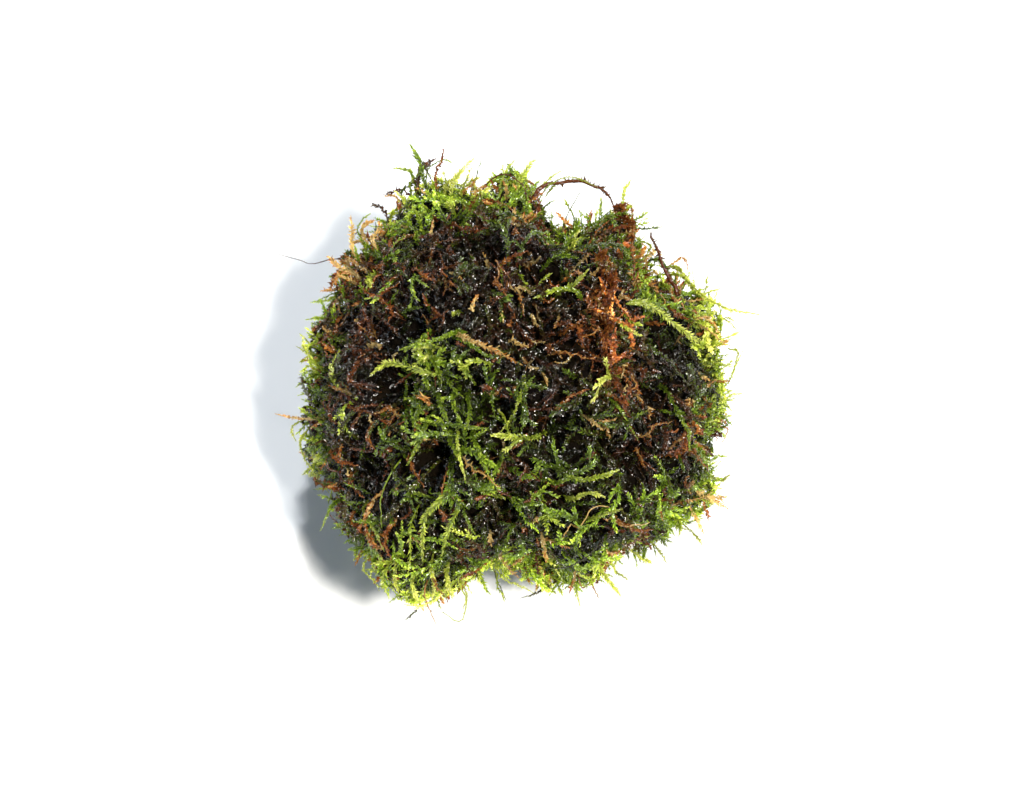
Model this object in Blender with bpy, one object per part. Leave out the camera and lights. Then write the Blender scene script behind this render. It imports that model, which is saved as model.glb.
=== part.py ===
"""A ball of wet java moss, about 8 cm across.

The ball is one dense tangled mat with clumps, locks, dark hollows and a small flat spot to rest on.
Longer shoots, bare stems and one loose fibre lie on the mat or reach out of it, each a piece of its own.
Units are metres. The origin is the middle of the flat spot, +Z is up, and the front is -Y.
"""
import math

import bmesh
import bpy
import numpy as np
from mathutils import Vector
from mathutils.bvhtree import BVHTree

MM = 0.001

# Driving dimensions of the tangled mat
MAT_WIDTH = 76 * MM
MAT_HALF_HEIGHT = 33 * MM
MAT_CENTRE_HEIGHT = 31.5 * MM
MAT_POINTS = 1710

# The view that the routes are read from: its tilt, its distance and its scale at the ball's middle
VIEW_TILT = math.radians(70)
VIEW_DISTANCE = 500 * MM
VIEW_MIDDLE = (518, 391)
VIEW_PIXEL = MM / 5.4

# Gap that a shoot keeps to the mat and to the other shoots
GAP = 0.32 * MM
# How far a shoot that leaves the mat sinks away from the viewer for each mm that it reaches
DROOP = 0.35
# The most that a shoot may go down over the mat's edge for each mm that it reaches
STEEPEST = 1.5

GOLDEN_TURN = math.pi * (3 - math.sqrt(5))
CENTRE = np.array([0.0, 0.0, MAT_CENTRE_HEIGHT])
VIEW_RIGHT = np.array([1.0, 0.0, 0.0])
VIEW_UP = np.array([0.0, math.sin(VIEW_TILT), math.cos(VIEW_TILT)])
VIEW_BACK = np.array([0.0, -math.cos(VIEW_TILT), math.sin(VIEW_TILT)])

# Swellings of the mat as seen from the front: column, row, height in mm, half-width in mm
SWELLINGS = [
    (436, 185, 4.5, 9), (508, 188, 2.5, 9), (622, 208, 4.0, 8), (600, 290, 2.2, 9),
    (345, 275, 1.8, 9), (318, 350, 1.6, 8), (470, 300, 2.0, 11), (470, 400, 2.5, 13),
    (345, 430, 2.0, 9), (390, 535, 2.4, 10), (430, 570, 2.6, 9), (570, 500, 2.4, 12),
    (600, 545, 2.0, 9), (680, 440, 1.8, 9), (700, 320, 2.6, 9), (540, 250, 1.6, 8),
    (560, 400, 1.4, 8), (650, 510, 1.4, 9),
]
# Dark hollows in the mat, in the same form with their depth
HOLLOWS = [
    (411, 330, 5.0, 3.6), (397, 392, 4.6, 4.2), (436, 459, 3.6, 3.0), (487, 254, 3.0, 3.0),
    (535, 276, 3.6, 3.2), (662, 334, 4.6, 4.2), (705, 439, 3.6, 3.0), (637, 459, 3.0, 2.6),
    (500, 411, 2.6, 2.4), (375, 468, 3.0, 3.0), (561, 268, 2.6, 2.6), (653, 391, 3.2, 3.0),
    (561, 555, 2.6, 2.6), (575, 212, 5.0, 6.0), (655, 265, 3.0, 5.0), (560, 430, 2.4, 2.8),
    (500, 505, 2.2, 2.6), (540, 590, 2.5, 5.0),
]
# How far the mat's edge in the view stands out beyond the smooth ball: turn from the right in degrees, mm
EDGE_SHIFTS = [
    (0, -2.0), (10, -3.0), (20, -2.4), (30, -4.2), (40, -7.5), (50, -6.5), (57, -3.0), (62, -5.0),
    (67, -9.0), (80, -10.0), (86, -4.6), (90, -1.6), (100, -4.6), (110, -1.0), (120, -1.0), (130, -0.6),
    (140, -2.0), (150, -3.8), (160, -4.6), (170, -1.4), (190, -2.2), (200, -0.4), (220, 0.2), (230, 1.0),
    (240, 2.4), (250, 0.2), (260, -7.5), (270, -7.2), (280, -5.6), (290, -0.8), (300, -5.0), (310, -2.4),
    (320, -3.2), (330, -0.4), (340, -1.9), (350, -0.6),
]
# The shift fades in between these shares of a direction that lie across the line of sight
EDGE_FROM = 0.74
EDGE_FULL = 0.97
# Swellings and hollows round the sides and the back, where the view doesn't reach
HIDDEN_SWELLINGS = 16
HIDDEN_HEIGHT = 2.6 * MM
HIDDEN_HOLLOW_DEPTH = 3.4 * MM
# Clumps all over, domed with creases between them: number, height and angle at which a dome ends
CLUMPS = 120
CLUMP_HEIGHT = 3.0 * MM
CLUMP_ANGLE = 0.25
# The relief fades out between these heights of a direction, so that the flat spot has a round rim
FADE_FROM = -0.80
FADE_TO = -0.95
# Locks of matted shoots that lie on the mat and are fused to it: number, length and greatest radius,
# then each point's height over the mat and its share of the radius, root first
LOCKS = 52
LOCK_LENGTH = 15 * MM
LOCK_RADIUS = 1.3 * MM
LOCK_RISES = [-1.3 * MM, 0.5 * MM, 1.3 * MM, 1.1 * MM, 1.6 * MM]
LOCK_SHARES = [0.8, 1.0, 0.95, 0.7, 0.3]
# Locks that reach out round the back and the sides: turn and rise in degrees, and length in mm
OUTWARD_LOCKS = [
    (18, -26, 6), (42, -30, 7), (66, -24, 7), (88, -16, 7), (112, -18, 7), (138, -24, 7), (160, -26, 6),
    (-160, -32, 5), (-28, -34, 5), (-8, -30, 5),
]
OUTWARD_RADIUS = 0.8 * MM
OUTWARD_SHARES = [1.0, 0.9, 0.4]

# The shoots' forms: greatest radius in mm, then its share left at the root and at the tip
FORMS = {
    "leafy": (0.64, 0.75, 0.45),
    "slim": (0.44, 0.8, 0.5),
    "stem": (0.42, 1.0, 0.6),
    "twig": (0.64, 1.0, 0.5),
    "fibre": (0.18, 1.0, 0.7),
    "fan": (0.85, 0.5, 0.5),
}
SHOOT_POINTS = 7
EVENING_ROUNDS = 8
CLEARING_ROUNDS = 30

# Every separate shoot: form, finish, and its route as column, row and lift in mm, root first
SHOOTS = {
    "top_tuft_stem": ("twig", "olive", [(416, 186, 0.8), (421, 174, 2.0), (430, 163, 3.0)]),
    "top_tuft_leaf_left": ("slim", "green", [(414, 181, 0.9), (408, 170, 2.2), (394, 168, 3.4)]),
    "top_tuft_leaf_high": ("slim", "olive", [(424, 182, 0.9), (419, 158, 3.0), (410, 144, 4.6)]),
    "top_tuft_leaf_right": ("slim", "rust", [(434, 180, 0.9), (440, 163, 2.6), (444, 149, 4.0)]),
    "yellow_shoot_top": ("leafy", "yellow", [(452, 188, 0.8), (461, 172, 2.2), (473, 158, 4.0)]),
    "green_shoot_top": ("leafy", "green", [(516, 184, 0.8), (526, 171, 2.4), (536, 160, 4.0)]),
    "thin_shoot_top": ("slim", "green", [(500, 186, 0.8), (506, 171, 2.4), (516, 159, 3.8)]),
    "curled_stem_top": ("stem", "bark", [(484, 188, 0.8), (502, 174, 2.6), (520, 184, 3.0), (527, 201, 1.0)]),
    "arched_stem": ("twig", "bark", [(536, 193, 0.8), (552, 183, 3.6), (581, 182, 5.2), (603, 190, 4.2),
                                     (614, 206, 0.8)]),
    "arch_strut": ("stem", "green", [(563, 226, 0.8), (570, 210, 2.4), (580, 192, 3.6)]),
    "shoulder_shoot": ("leafy", "green", [(622, 206, 0.8), (625, 193, 2.6), (630, 180, 4.4)]),
    "shoulder_stem": ("stem", "rust", [(632, 224, 1.0), (633, 250, 1.6), (633, 281, 0.9)]),
    "right_stem": ("twig", "bark", [(679, 298, 0.8), (669, 276, 1.8), (657, 251, 3.4), (650, 234, 4.4)]),
    "long_shoot_right": ("leafy", "yellow", [(680, 275, 1.0), (700, 295, 1.8), (726, 308, 3.6),
                                             (760, 314, 7.5)]),
    "side_shoot_right": ("slim", "yellow", [(722, 338, 0.8), (733, 336, 2.0), (740, 331, 3.2)]),
    "thin_stem_right": ("slim", "green", [(728, 384, 0.8), (734, 368, 1.8), (743, 350, 3.6)]),
    "low_shoot_right": ("slim", "yellow", [(724, 399, 0.8), (733, 395, 1.8), (743, 393, 3.4)]),
    "bright_shoot": ("leafy", "bright", [(643, 304, 1.0), (666, 318, 1.3), (690, 335, 1.3), (711, 346, 1.0)]),
    "dark_shoot": ("leafy", "green", [(577, 293, 1.0), (556, 290, 1.3), (533, 298, 1.0)]),
    "rust_frond_high": ("twig", "rust", [(605, 259, 1.0), (609, 285, 1.6), (604, 312, 1.3)]),
    "rust_frond_low": ("twig", "rust", [(606, 326, 1.2), (606, 352, 1.4), (612, 376, 1.2), (622, 391, 0.9)]),
    "rust_branch": ("stem", "rust", [(599, 330, 2.0), (589, 336, 2.4), (577, 342, 2.0)]),
    "straw_shoot_left": ("leafy", "straw", [(356, 256, 1.0), (352, 236, 2.4), (350, 217, 3.8)]),
    "straw_curl_left": ("leafy", "straw", [(346, 270, 1.0), (336, 264, 2.4), (327, 257, 3.4)]),
    "straw_branch_left": ("slim", "rust", [(350, 280, 0.9), (338, 278, 2.0), (327, 290, 2.4)]),
    "thin_shoot_left": ("slim", "green", [(358, 230, 1.0), (362, 219, 2.2), (371, 214, 3.4)]),
    "loose_fibre": ("fibre", "fibre", [(336, 258, 0.9), (312, 264, 3.0), (299, 261, 4.6), (273, 252, 8.0)]),
    "edge_shoot_left": ("leafy", "bright", [(316, 366, 0.8), (305, 352, 1.4), (304, 337, 2.2)]),
    "straw_stem_left": ("slim", "straw", [(312, 419, 0.8), (294, 418, 3.2), (276, 414, 6.4)]),
    "edge_stem_left": ("slim", "yellow", [(300, 440, 0.8), (307, 463, 1.2), (329, 492, 1.0)]),
    "low_tip_left": ("slim", "green", [(333, 506, 0.9), (327, 518, 2.2), (319, 530, 3.4)]),
    "front_comb": ("leafy", "bright", [(420, 371, 1.2), (399, 365, 1.6), (384, 365, 1.6), (371, 375, 1.4)]),
    "front_shoot": ("leafy", "green", [(452, 334, 1.0), (424, 344, 1.4), (400, 351, 1.2)]),
    "broad_straw": ("twig", "straw", [(464, 338, 1.0), (490, 350, 1.3), (521, 367, 1.0)]),
    "hanging_shoot_1": ("leafy", "bright", [(438, 502, 1.0), (424, 522, 1.5), (422, 560, 1.4)]),
    "hanging_shoot_2": ("leafy", "bright", [(455, 515, 1.0), (447, 534, 1.5), (440, 560, 1.4)]),
    "hanging_shoot_3": ("leafy", "bright", [(412, 522, 1.0), (409, 548, 1.5), (408, 574, 1.6)]),
    "hanging_shoot_4": ("leafy", "bright", [(387, 568, 0.9), (383, 583, 2.2), (388, 598, 3.0)]),
    "mid_shoot": ("leafy", "green", [(456, 438, 1.2), (460, 458, 1.5), (464, 480, 1.2)]),
    "bottom_shoot": ("leafy", "bright", [(412, 582, 0.8), (414, 592, 1.6), (418, 601, 2.6)]),
    "bottom_loop": ("stem", "yellow", [(458, 584, 0.8), (468, 600, 2.4), (460, 622, 4.4), (441, 612, 3.4)]),
    "rust_tail": ("stem", "rust", [(424, 594, 0.9), (427, 606, 2.2), (436, 623, 4.0)]),
    "low_shoot_1": ("slim", "yellow", [(502, 577, 0.8), (518, 585, 1.8), (534, 594, 2.6)]),
    "low_shoot_2": ("slim", "olive", [(556, 581, 0.8), (540, 592, 2.2), (519, 598, 3.2)]),
    "low_shoot_3": ("slim", "yellow", [(570, 583, 0.8), (576, 594, 2.2), (581, 606, 3.4)]),
    "low_shoot_4": ("leafy", "bright", [(600, 567, 0.9), (608, 582, 2.2), (620, 596, 3.6)]),
    "low_shoot_5": ("leafy", "yellow", [(634, 552, 0.8), (643, 560, 1.8), (652, 563, 2.8)]),
    "straw_fan_right": ("fan", "straw", [(700, 492, 0.9), (713, 500, 2.4), (728, 509, 4.4)]),
}

# Each finish as its linear base colour and its roughness
FINISHES = {
    "mat": ((0.045, 0.050, 0.018), 0.45),
    "green": ((0.070, 0.170, 0.020), 0.38),
    "bright": ((0.240, 0.380, 0.050), 0.40),
    "yellow": ((0.460, 0.500, 0.090), 0.42),
    "olive": ((0.120, 0.120, 0.030), 0.42),
    "rust": ((0.270, 0.075, 0.025), 0.42),
    "straw": ((0.520, 0.280, 0.080), 0.45),
    "bark": ((0.060, 0.035, 0.018), 0.50),
    "fibre": ((0.020, 0.028, 0.045), 0.45),
}


def unit(vectors):
    return vectors / np.linalg.norm(vectors, axis=-1, keepdims=True)


def spread_directions(count, lowest=-1.0, highest=1.0):
    """Directions spread evenly round the centre on a spiral, between two heights."""
    number = np.arange(count)
    rise = lowest + (highest - lowest) * (number + 0.5) / count
    flat = np.sqrt(1 - rise * rise)
    turn = GOLDEN_TURN * number
    return np.stack([flat * np.cos(turn), flat * np.sin(turn), rise], axis=1)


def along_view(across, up, back):
    """A point from its offsets at the ball's middle, moved back along the line to the viewer."""
    narrowing = 1 - np.asarray(back)[..., None] / VIEW_DISTANCE
    plane = across * VIEW_RIGHT + up * VIEW_UP
    return CENTRE + plane * narrowing + np.asarray(back)[..., None] * VIEW_BACK


def pixel_offsets(column, row):
    """How far a pixel is to the right of the ball's middle and above it, in metres."""
    across = (column - VIEW_MIDDLE[0]) * VIEW_PIXEL
    up = (VIEW_MIDDLE[1] - row) * VIEW_PIXEL
    return across, up


def plain_radius(directions):
    """Distance from the centre to a smooth flattened ball, along each direction."""
    across = (directions[..., 0] ** 2 + directions[..., 1] ** 2) / (MAT_WIDTH / 2) ** 2
    return 1 / np.sqrt(across + directions[..., 2] ** 2 / MAT_HALF_HEIGHT ** 2)


def seen_direction(column, row):
    """Direction from the ball's centre to the spot of the smooth ball that a pixel shows."""
    across, up = pixel_offsets(column, row)
    backs = np.linspace(MAT_WIDTH, -MAT_WIDTH / 2, 800)
    points = along_view(across, up, backs) - CENTRE
    outside = np.linalg.norm(points, axis=1) - plain_radius(unit(points))
    hits = np.flatnonzero(outside <= 0)
    chosen = hits[0] if len(hits) else int(np.argmin(outside))
    return unit(points[chosen])


def relief_list():
    """Each swelling or hollow as its direction, its height and its half-width as an angle."""
    found = []
    for sign, rows in ((1, SWELLINGS), (-1, HOLLOWS)):
        for column, row, height, half_width in rows:
            direction = seen_direction(column, row)
            angle = half_width * MM / plain_radius(direction)
            found.append((direction, sign * height * MM, angle))
    for direction in spread_directions(HIDDEN_SWELLINGS, -0.55, 0.55):
        if direction @ VIEW_BACK < 0.15:
            found.append((direction, HIDDEN_HEIGHT, 0.24))
            beside = unit(direction + 0.42 * np.cross(direction, VIEW_RIGHT + VIEW_UP))
            found.append((beside, -HIDDEN_HOLLOW_DEPTH, 0.11))
    return found


def clump_centres():
    """Directions of the clumps' middles: an even spread, each moved aside so that no rows show."""
    centres = spread_directions(CLUMPS)
    number = np.arange(CLUMPS)
    shift = np.stack([np.sin(2.3 * number), np.cos(3.7 * number), np.sin(5.1 * number + 1)], axis=1)
    return unit(centres + 0.11 * shift)


RELIEF = relief_list()
CLUMP_CENTRES = clump_centres()


def edge_shift(directions):
    """How far the mat's edge stands out in each direction: the listed shifts, blended between their turns.

    It is full for a direction across the line of sight and fades out for those along it.
    """
    across = directions @ VIEW_RIGHT
    up = directions @ VIEW_UP
    turns, shifts = np.array(EDGE_SHIFTS).T
    shift = np.interp(np.degrees(np.arctan2(up, across)) % 360, turns, shifts * MM, period=360)
    share = np.clip((np.hypot(across, up) - EDGE_FROM) / (EDGE_FULL - EDGE_FROM), 0, 1)
    return shift * share * share * (3 - 2 * share)


def mat_radius(directions):
    """Distance from the centre to the top of the moss, along each direction.

    It is the smooth ball, plus its edge's shift, plus a dome round the nearest clump's middle, plus
    every swelling and hollow as a bell shape, all of it fading out towards the flat spot.
    """
    relief = edge_shift(directions)
    for direction, height, angle in RELIEF:
        closeness = (1 - directions @ direction) / (angle * angle / 2)
        relief = relief + height * np.exp(-closeness)
    nearest = np.clip((directions @ CLUMP_CENTRES.T).max(axis=-1), -1, 1)
    dome = 0.45 - (np.arccos(nearest) / CLUMP_ANGLE) ** 2
    relief = relief + CLUMP_HEIGHT * np.maximum(dome, -0.8)
    share = np.clip((directions[..., 2] - FADE_TO) / (FADE_FROM - FADE_TO), 0, 1)
    return plain_radius(directions) + relief * share * share * (3 - 2 * share)


def seen_route(spots):
    """The points of a route from its pixels and lifts in mm.

    Over the mat a point lies on it, raised by its lift. Past the mat's edge the route goes on from
    the point before, drooping, and keeps at least its lift from the mat.
    """
    route = []
    depth = None
    for column, row, lift in spots:
        across, up = pixel_offsets(column, row)
        backs = np.linspace(MAT_WIDTH, -MAT_WIDTH, 2400)
        points = along_view(across, up, backs)
        reach = np.linalg.norm(points - CENTRE, axis=1)
        outside = reach - mat_radius(unit(points - CENTRE)) - lift * MM
        hits = np.flatnonzero(outside <= 0)
        if depth is None:
            chosen = hits[0] if len(hits) else int(np.argmin(outside))
        else:
            step = math.hypot(across - before[0], up - before[1])
            clear = (outside >= 0) & (points[:, 2] >= lift * MM / 2)
            wanted = depth - DROOP * step
            if len(hits):
                wanted = max(backs[hits[0]], depth - STEEPEST * step)
                clear[hits[0] + 1:] = False
            chosen = int(np.argmin(np.where(clear, np.abs(backs - wanted), np.inf)))
        depth, before = backs[chosen], (across, up)
        route.append(points[chosen])
    return route


def smooth_route(points, count):
    """Points on the smooth curve that passes through each given point, evenly spread by number."""
    points = np.array(points)
    ends = [2 * points[0] - points[1], *points, 2 * points[-1] - points[-2]]
    route = []
    for place in np.linspace(0, len(points) - 1, count):
        step = min(int(place), len(points) - 2)
        t = place - step
        a, b, c, d = ends[step:step + 4]
        route.append(0.5 * (2 * b + (c - a) * t + (2 * a - 5 * b + 4 * c - d) * t ** 2
                            + (3 * b - a - 3 * c + d) * t ** 3))
    return np.array(route)


def new_material(name, colour, roughness):
    material = bpy.data.materials.new(name)
    material.use_nodes = True
    shader = material.node_tree.nodes["Principled BSDF"]
    shader.inputs["Base Color"].default_value = (*colour, 1)
    shader.inputs["Roughness"].default_value = roughness
    shader.inputs["Metallic"].default_value = 0
    return material


def thread_tube(name, points, radii, material):
    """A four-sided tube through the points, with a radius at each and closed ends."""
    line = bpy.data.curves.new(name, "CURVE")
    line.dimensions = "3D"
    line.bevel_depth = 1
    line.bevel_resolution = 0
    line.use_fill_caps = True
    spline = line.splines.new("POLY")
    spline.points.add(len(points) - 1)
    for spot, point, radius in zip(spline.points, points, radii):
        spot.co = (*point, 1)
        spot.radius = radius
    line.materials.append(material)
    return bpy.data.objects.new(name, line)


def make_mat(collection, material):
    """The tangled mat: evenly spread points drawn out to the moss's height and cut off flat underneath."""
    mesh = bpy.data.meshes.new("moss_ball")
    shape = bmesh.new()
    for direction in spread_directions(MAT_POINTS):
        shape.verts.new(direction)
    bmesh.ops.convex_hull(shape, input=shape.verts)
    directions = unit(np.array([vertex.co for vertex in shape.verts]))
    for vertex, direction, radius in zip(shape.verts, directions, mat_radius(directions)):
        vertex.co = CENTRE + direction * radius
    everything = shape.verts[:] + shape.edges[:] + shape.faces[:]
    cut = bmesh.ops.bisect_plane(shape, geom=everything, plane_co=(0, 0, 0),
                                 plane_no=(0, 0, -1), clear_outer=True, dist=0.02 * MM)
    rim = [item for item in cut["geom_cut"] if isinstance(item, bmesh.types.BMEdge)]
    bmesh.ops.contextual_create(shape, geom=rim)
    bmesh.ops.recalc_face_normals(shape, faces=shape.faces)
    shape.to_mesh(mesh)
    shape.free()
    mesh.materials.append(material)
    mat = bpy.data.objects.new("moss_ball", mesh)
    collection.objects.link(mat)
    return mat


def lying_route(direction, number):
    """A lying lock's points: a bent path over the mat, sunk at its root and lifted towards its tip."""
    level = unit(np.cross(direction, [0.2, 0.3, 1.0]))
    heading = GOLDEN_TURN * number
    ahead = math.cos(heading) * level + math.sin(heading) * np.cross(direction, level)
    bend = 0.22 * math.sin(1.7 * number)
    step = LOCK_LENGTH / (len(LOCK_RISES) - 1)
    points = []
    for rise in LOCK_RISES:
        radius = mat_radius(direction) + rise
        points.append(CENTRE + direction * radius)
        ahead = unit(ahead + bend * np.cross(direction, ahead))
        direction = unit(direction + ahead * step / radius)
        ahead = unit(ahead - direction * (ahead @ direction))
    return points


def outward_route(turn, rise, length):
    """An outward lock's points: from inside the mat outwards, leaning aside and a little upwards."""
    turn, rise = math.radians(turn), math.radians(rise)
    out = np.array([math.cos(rise) * math.cos(turn), math.cos(rise) * math.sin(turn), math.sin(rise)])
    side = unit(np.cross(out, [0, 0, 1.0]))
    root = CENTRE + out * (mat_radius(out) - OUTWARD_RADIUS)
    lean = unit(out * 0.75 + side * 0.65)
    return [root, root + lean * 0.5 * length, root + lean * length + np.array([0, 0, 0.15 * length])]


def add_lock(collection, route, radii, material):
    """A lock as a closed mesh in the collection, with the tube's caps welded on."""
    tube = thread_tube("lock", route, radii, material)
    collection.objects.link(tube)
    bpy.context.view_layer.update()
    evaluated = tube.evaluated_get(bpy.context.evaluated_depsgraph_get())
    mesh = bpy.data.meshes.new_from_object(evaluated)
    shape = bmesh.new()
    shape.from_mesh(mesh)
    bmesh.ops.remove_doubles(shape, verts=shape.verts, dist=0.001 * MM)
    bmesh.ops.recalc_face_normals(shape, faces=shape.faces)
    shape.to_mesh(mesh)
    shape.free()
    bpy.data.objects.remove(tube)
    collection.objects.link(bpy.data.objects.new("lock", mesh))


def grow_locks(mat, material):
    """Fuses all the locks to the mat, as one solid."""
    locks = bpy.data.collections.new("locks")
    bpy.context.scene.collection.children.link(locks)
    radii = [LOCK_RADIUS * share for share in LOCK_SHARES]
    for number, direction in enumerate(spread_directions(LOCKS, -0.62, 0.97)):
        add_lock(locks, lying_route(direction, number), radii, material)
    radii = [OUTWARD_RADIUS * share for share in OUTWARD_SHARES]
    for turn, rise, length in OUTWARD_LOCKS:
        add_lock(locks, outward_route(turn, rise, length * MM), radii, material)
    union = mat.modifiers.new("locks", "BOOLEAN")
    union.operation = "UNION"
    union.operand_type = "COLLECTION"
    union.collection = locks
    union.solver = "EXACT"
    bpy.context.view_layer.update()
    evaluated = mat.evaluated_get(bpy.context.evaluated_depsgraph_get())
    fused = bpy.data.meshes.new_from_object(evaluated)
    mat.modifiers.clear()
    mat.data = fused
    for lock in list(locks.objects):
        bpy.data.objects.remove(lock)
    bpy.data.collections.remove(locks)


class Neighbours:
    """What is already in place, which a new shoot has to stay clear of."""

    def __init__(self):
        self.points = []
        self.faces = []

    def add(self, obj):
        graph = bpy.context.evaluated_depsgraph_get()
        mesh = obj.evaluated_get(graph).to_mesh()
        first = len(self.points)
        self.points += [obj.matrix_world @ vertex.co for vertex in mesh.vertices]
        self.faces += [[first + i for i in face.vertices] for face in mesh.polygons]
        obj.evaluated_get(graph).to_mesh_clear()
        self.tree = BVHTree.FromPolygons(self.points, self.faces)

    def push_out(self, route, radii):
        """Moves the points of a route outwards until the tube round them keeps its gap.

        The early rounds also even the route out, so that it bends rather than kinks.
        """
        route = [Vector(point) for point in route]
        last = len(route) - 1
        for turn in range(EVENING_ROUNDS + CLEARING_ROUNDS):
            if turn < EVENING_ROUNDS:
                for i in range(1, last):
                    route[i] = route[i].lerp((route[i - 1] + route[i + 1]) / 2, 0.25)
            for i in range(4 * last + 1):
                low = i // 4
                share = i % 4 / 4
                high = min(low + 1, last)
                spot = route[low].lerp(route[high], share)
                needed = radii[low] * (1 - share) + radii[high] * share + GAP
                near, normal, _, distance = self.tree.find_nearest(spot)
                away = spot - near
                inside = away.dot(normal) < 0
                if not inside and distance >= needed:
                    continue
                push = normal * (needed + distance) if inside else away.normalized() * (needed - distance)
                route[low] += push * (1 - share)
                route[high] += push * share
        return [Vector((point.x, point.y, max(point.z, GAP + radius)))
                for point, radius in zip(route, radii)]


def shoot_radii(form):
    """A shoot's radius at each of its points: fullest in the middle and finer at both ends."""
    full, root, tip = FORMS[form]
    t = np.linspace(0, 1, SHOOT_POINTS)
    swell = np.sin(math.pi * t) ** 0.7
    ends = root * (1 - t) + tip * t
    return full * MM * (ends + (1 - ends) * swell)


def make_shoot(name, form, material, route, collection, neighbours):
    """One shoot: a fine tube along a smooth route, kept clear of everything in place before it."""
    radii = shoot_radii(form)
    settled = neighbours.push_out(smooth_route(route, SHOOT_POINTS), radii)
    shoot = thread_tube(name, settled, radii, material)
    collection.objects.link(shoot)
    bpy.context.view_layer.update()
    neighbours.add(shoot)


def main():
    for obj in list(bpy.data.objects):
        bpy.data.objects.remove(obj)
    collection = bpy.data.collections.new("java_moss_ball")
    bpy.context.scene.collection.children.link(collection)
    materials = {name: new_material(name, *look) for name, look in FINISHES.items()}
    mat = make_mat(collection, materials["mat"])
    grow_locks(mat, materials["mat"])
    neighbours = Neighbours()
    neighbours.add(mat)
    for name, (form, finish, spots) in SHOOTS.items():
        make_shoot(name, form, materials[finish], seen_route(spots), collection, neighbours)


main()
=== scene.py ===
"""The looks of a ball of wet java moss that lies on a pale table, about 8 cm across."""
import math

import bpy
import numpy as np
from mathutils import Matrix, Vector
from mathutils.bvhtree import BVHTree


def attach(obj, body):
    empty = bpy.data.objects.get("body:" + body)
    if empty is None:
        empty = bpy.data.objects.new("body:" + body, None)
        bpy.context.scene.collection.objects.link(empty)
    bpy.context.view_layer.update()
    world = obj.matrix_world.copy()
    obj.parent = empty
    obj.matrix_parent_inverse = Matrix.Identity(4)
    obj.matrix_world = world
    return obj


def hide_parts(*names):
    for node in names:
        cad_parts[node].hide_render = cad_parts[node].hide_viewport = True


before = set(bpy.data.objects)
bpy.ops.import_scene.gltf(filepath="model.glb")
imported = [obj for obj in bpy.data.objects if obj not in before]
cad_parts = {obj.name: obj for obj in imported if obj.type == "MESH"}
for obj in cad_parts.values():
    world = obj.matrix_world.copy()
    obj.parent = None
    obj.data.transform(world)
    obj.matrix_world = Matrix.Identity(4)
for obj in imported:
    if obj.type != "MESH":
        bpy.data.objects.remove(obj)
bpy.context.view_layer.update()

# The dense mat inside the ball
# Old stems and leaves matted together, sodden and dark brown, and coloured near black as painted shade
# deep in the tangle. It shows in the hollows and between the shoots, and everything else grows out of it.

MM = 0.001
BALL_CENTRE = np.array([0.0, 0.0, 31.5 * MM])
MAP_COLUMNS = 288
MAP_ROWS = 144
MAT_COLUMNS = 170
MAT_ROWS = 85
MAT_DEPTH = 3.4 * MM
MAT_RIDGE = 0.9 * MM
PIT_DEPTH = 4.5 * MM

# The photograph's view: its tilt and distance, and where and how large the ball's centre stands in it
VIEW_TILT = math.radians(70)
VIEW_DISTANCE = 500 * MM
VIEW_MIDDLE = (518, 391)
VIEW_PIXEL = MM / 5.4
VIEW_RIGHT = np.array([1.0, 0.0, 0.0])
VIEW_UP = np.array([0.0, math.sin(VIEW_TILT), math.cos(VIEW_TILT)])
VIEW_BACK = np.array([0.0, -math.cos(VIEW_TILT), math.sin(VIEW_TILT)])

# Dark hollows, where few shoots lie and no light comes: column, row and reach in the photograph
HOLLOWS = [
    (409, 328, 22), (397, 392, 24), (436, 459, 16), (487, 254, 14), (535, 276, 16), (662, 334, 24),
    (705, 439, 15), (637, 459, 13), (500, 411, 14), (372, 470, 16), (561, 268, 13), (653, 391, 16),
    (561, 555, 13), (560, 430, 14), (500, 505, 12), (349, 498, 12), (611, 450, 11), (385, 355, 20),
    (376, 395, 16), (540, 330, 12), (470, 385, 10), (590, 540, 10), (455, 570, 10), (680, 470, 12),
]


def unit(vectors):
    """Vectors divided by their own lengths."""
    return vectors / np.maximum(np.linalg.norm(vectors, axis=-1, keepdims=True), 1e-12)


def directions_at(turns, rises):
    """Unit directions from a turn round the ball and a rise over its middle, in radians."""
    return np.stack([np.cos(rises) * np.cos(turns), np.cos(rises) * np.sin(turns), np.sin(rises)], axis=-1)


def measured_radii():
    """How far the CAD's ball reaches in each direction of a grid: where a ray from its centre leaves it."""
    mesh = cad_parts["moss_ball"].data
    corners = [vertex.co for vertex in mesh.vertices]
    tree = BVHTree.FromPolygons(corners, [face.vertices[:] for face in mesh.polygons])
    turns = np.arange(MAP_COLUMNS) * 2 * math.pi / MAP_COLUMNS
    rises = (np.arange(MAP_ROWS) + 0.5) * math.pi / MAP_ROWS - math.pi / 2
    rays = directions_at(*np.meshgrid(turns, rises))
    start = Vector(BALL_CENTRE)
    reaches = [tree.ray_cast(start, Vector(ray))[3] for ray in rays.reshape(-1, 3)]
    reaches = np.array([np.nan if reach is None else reach for reach in reaches])
    reaches[np.isnan(reaches)] = np.nanmean(reaches)
    return reaches.reshape(MAP_ROWS, MAP_COLUMNS)


BALL_RADII = measured_radii()


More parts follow.
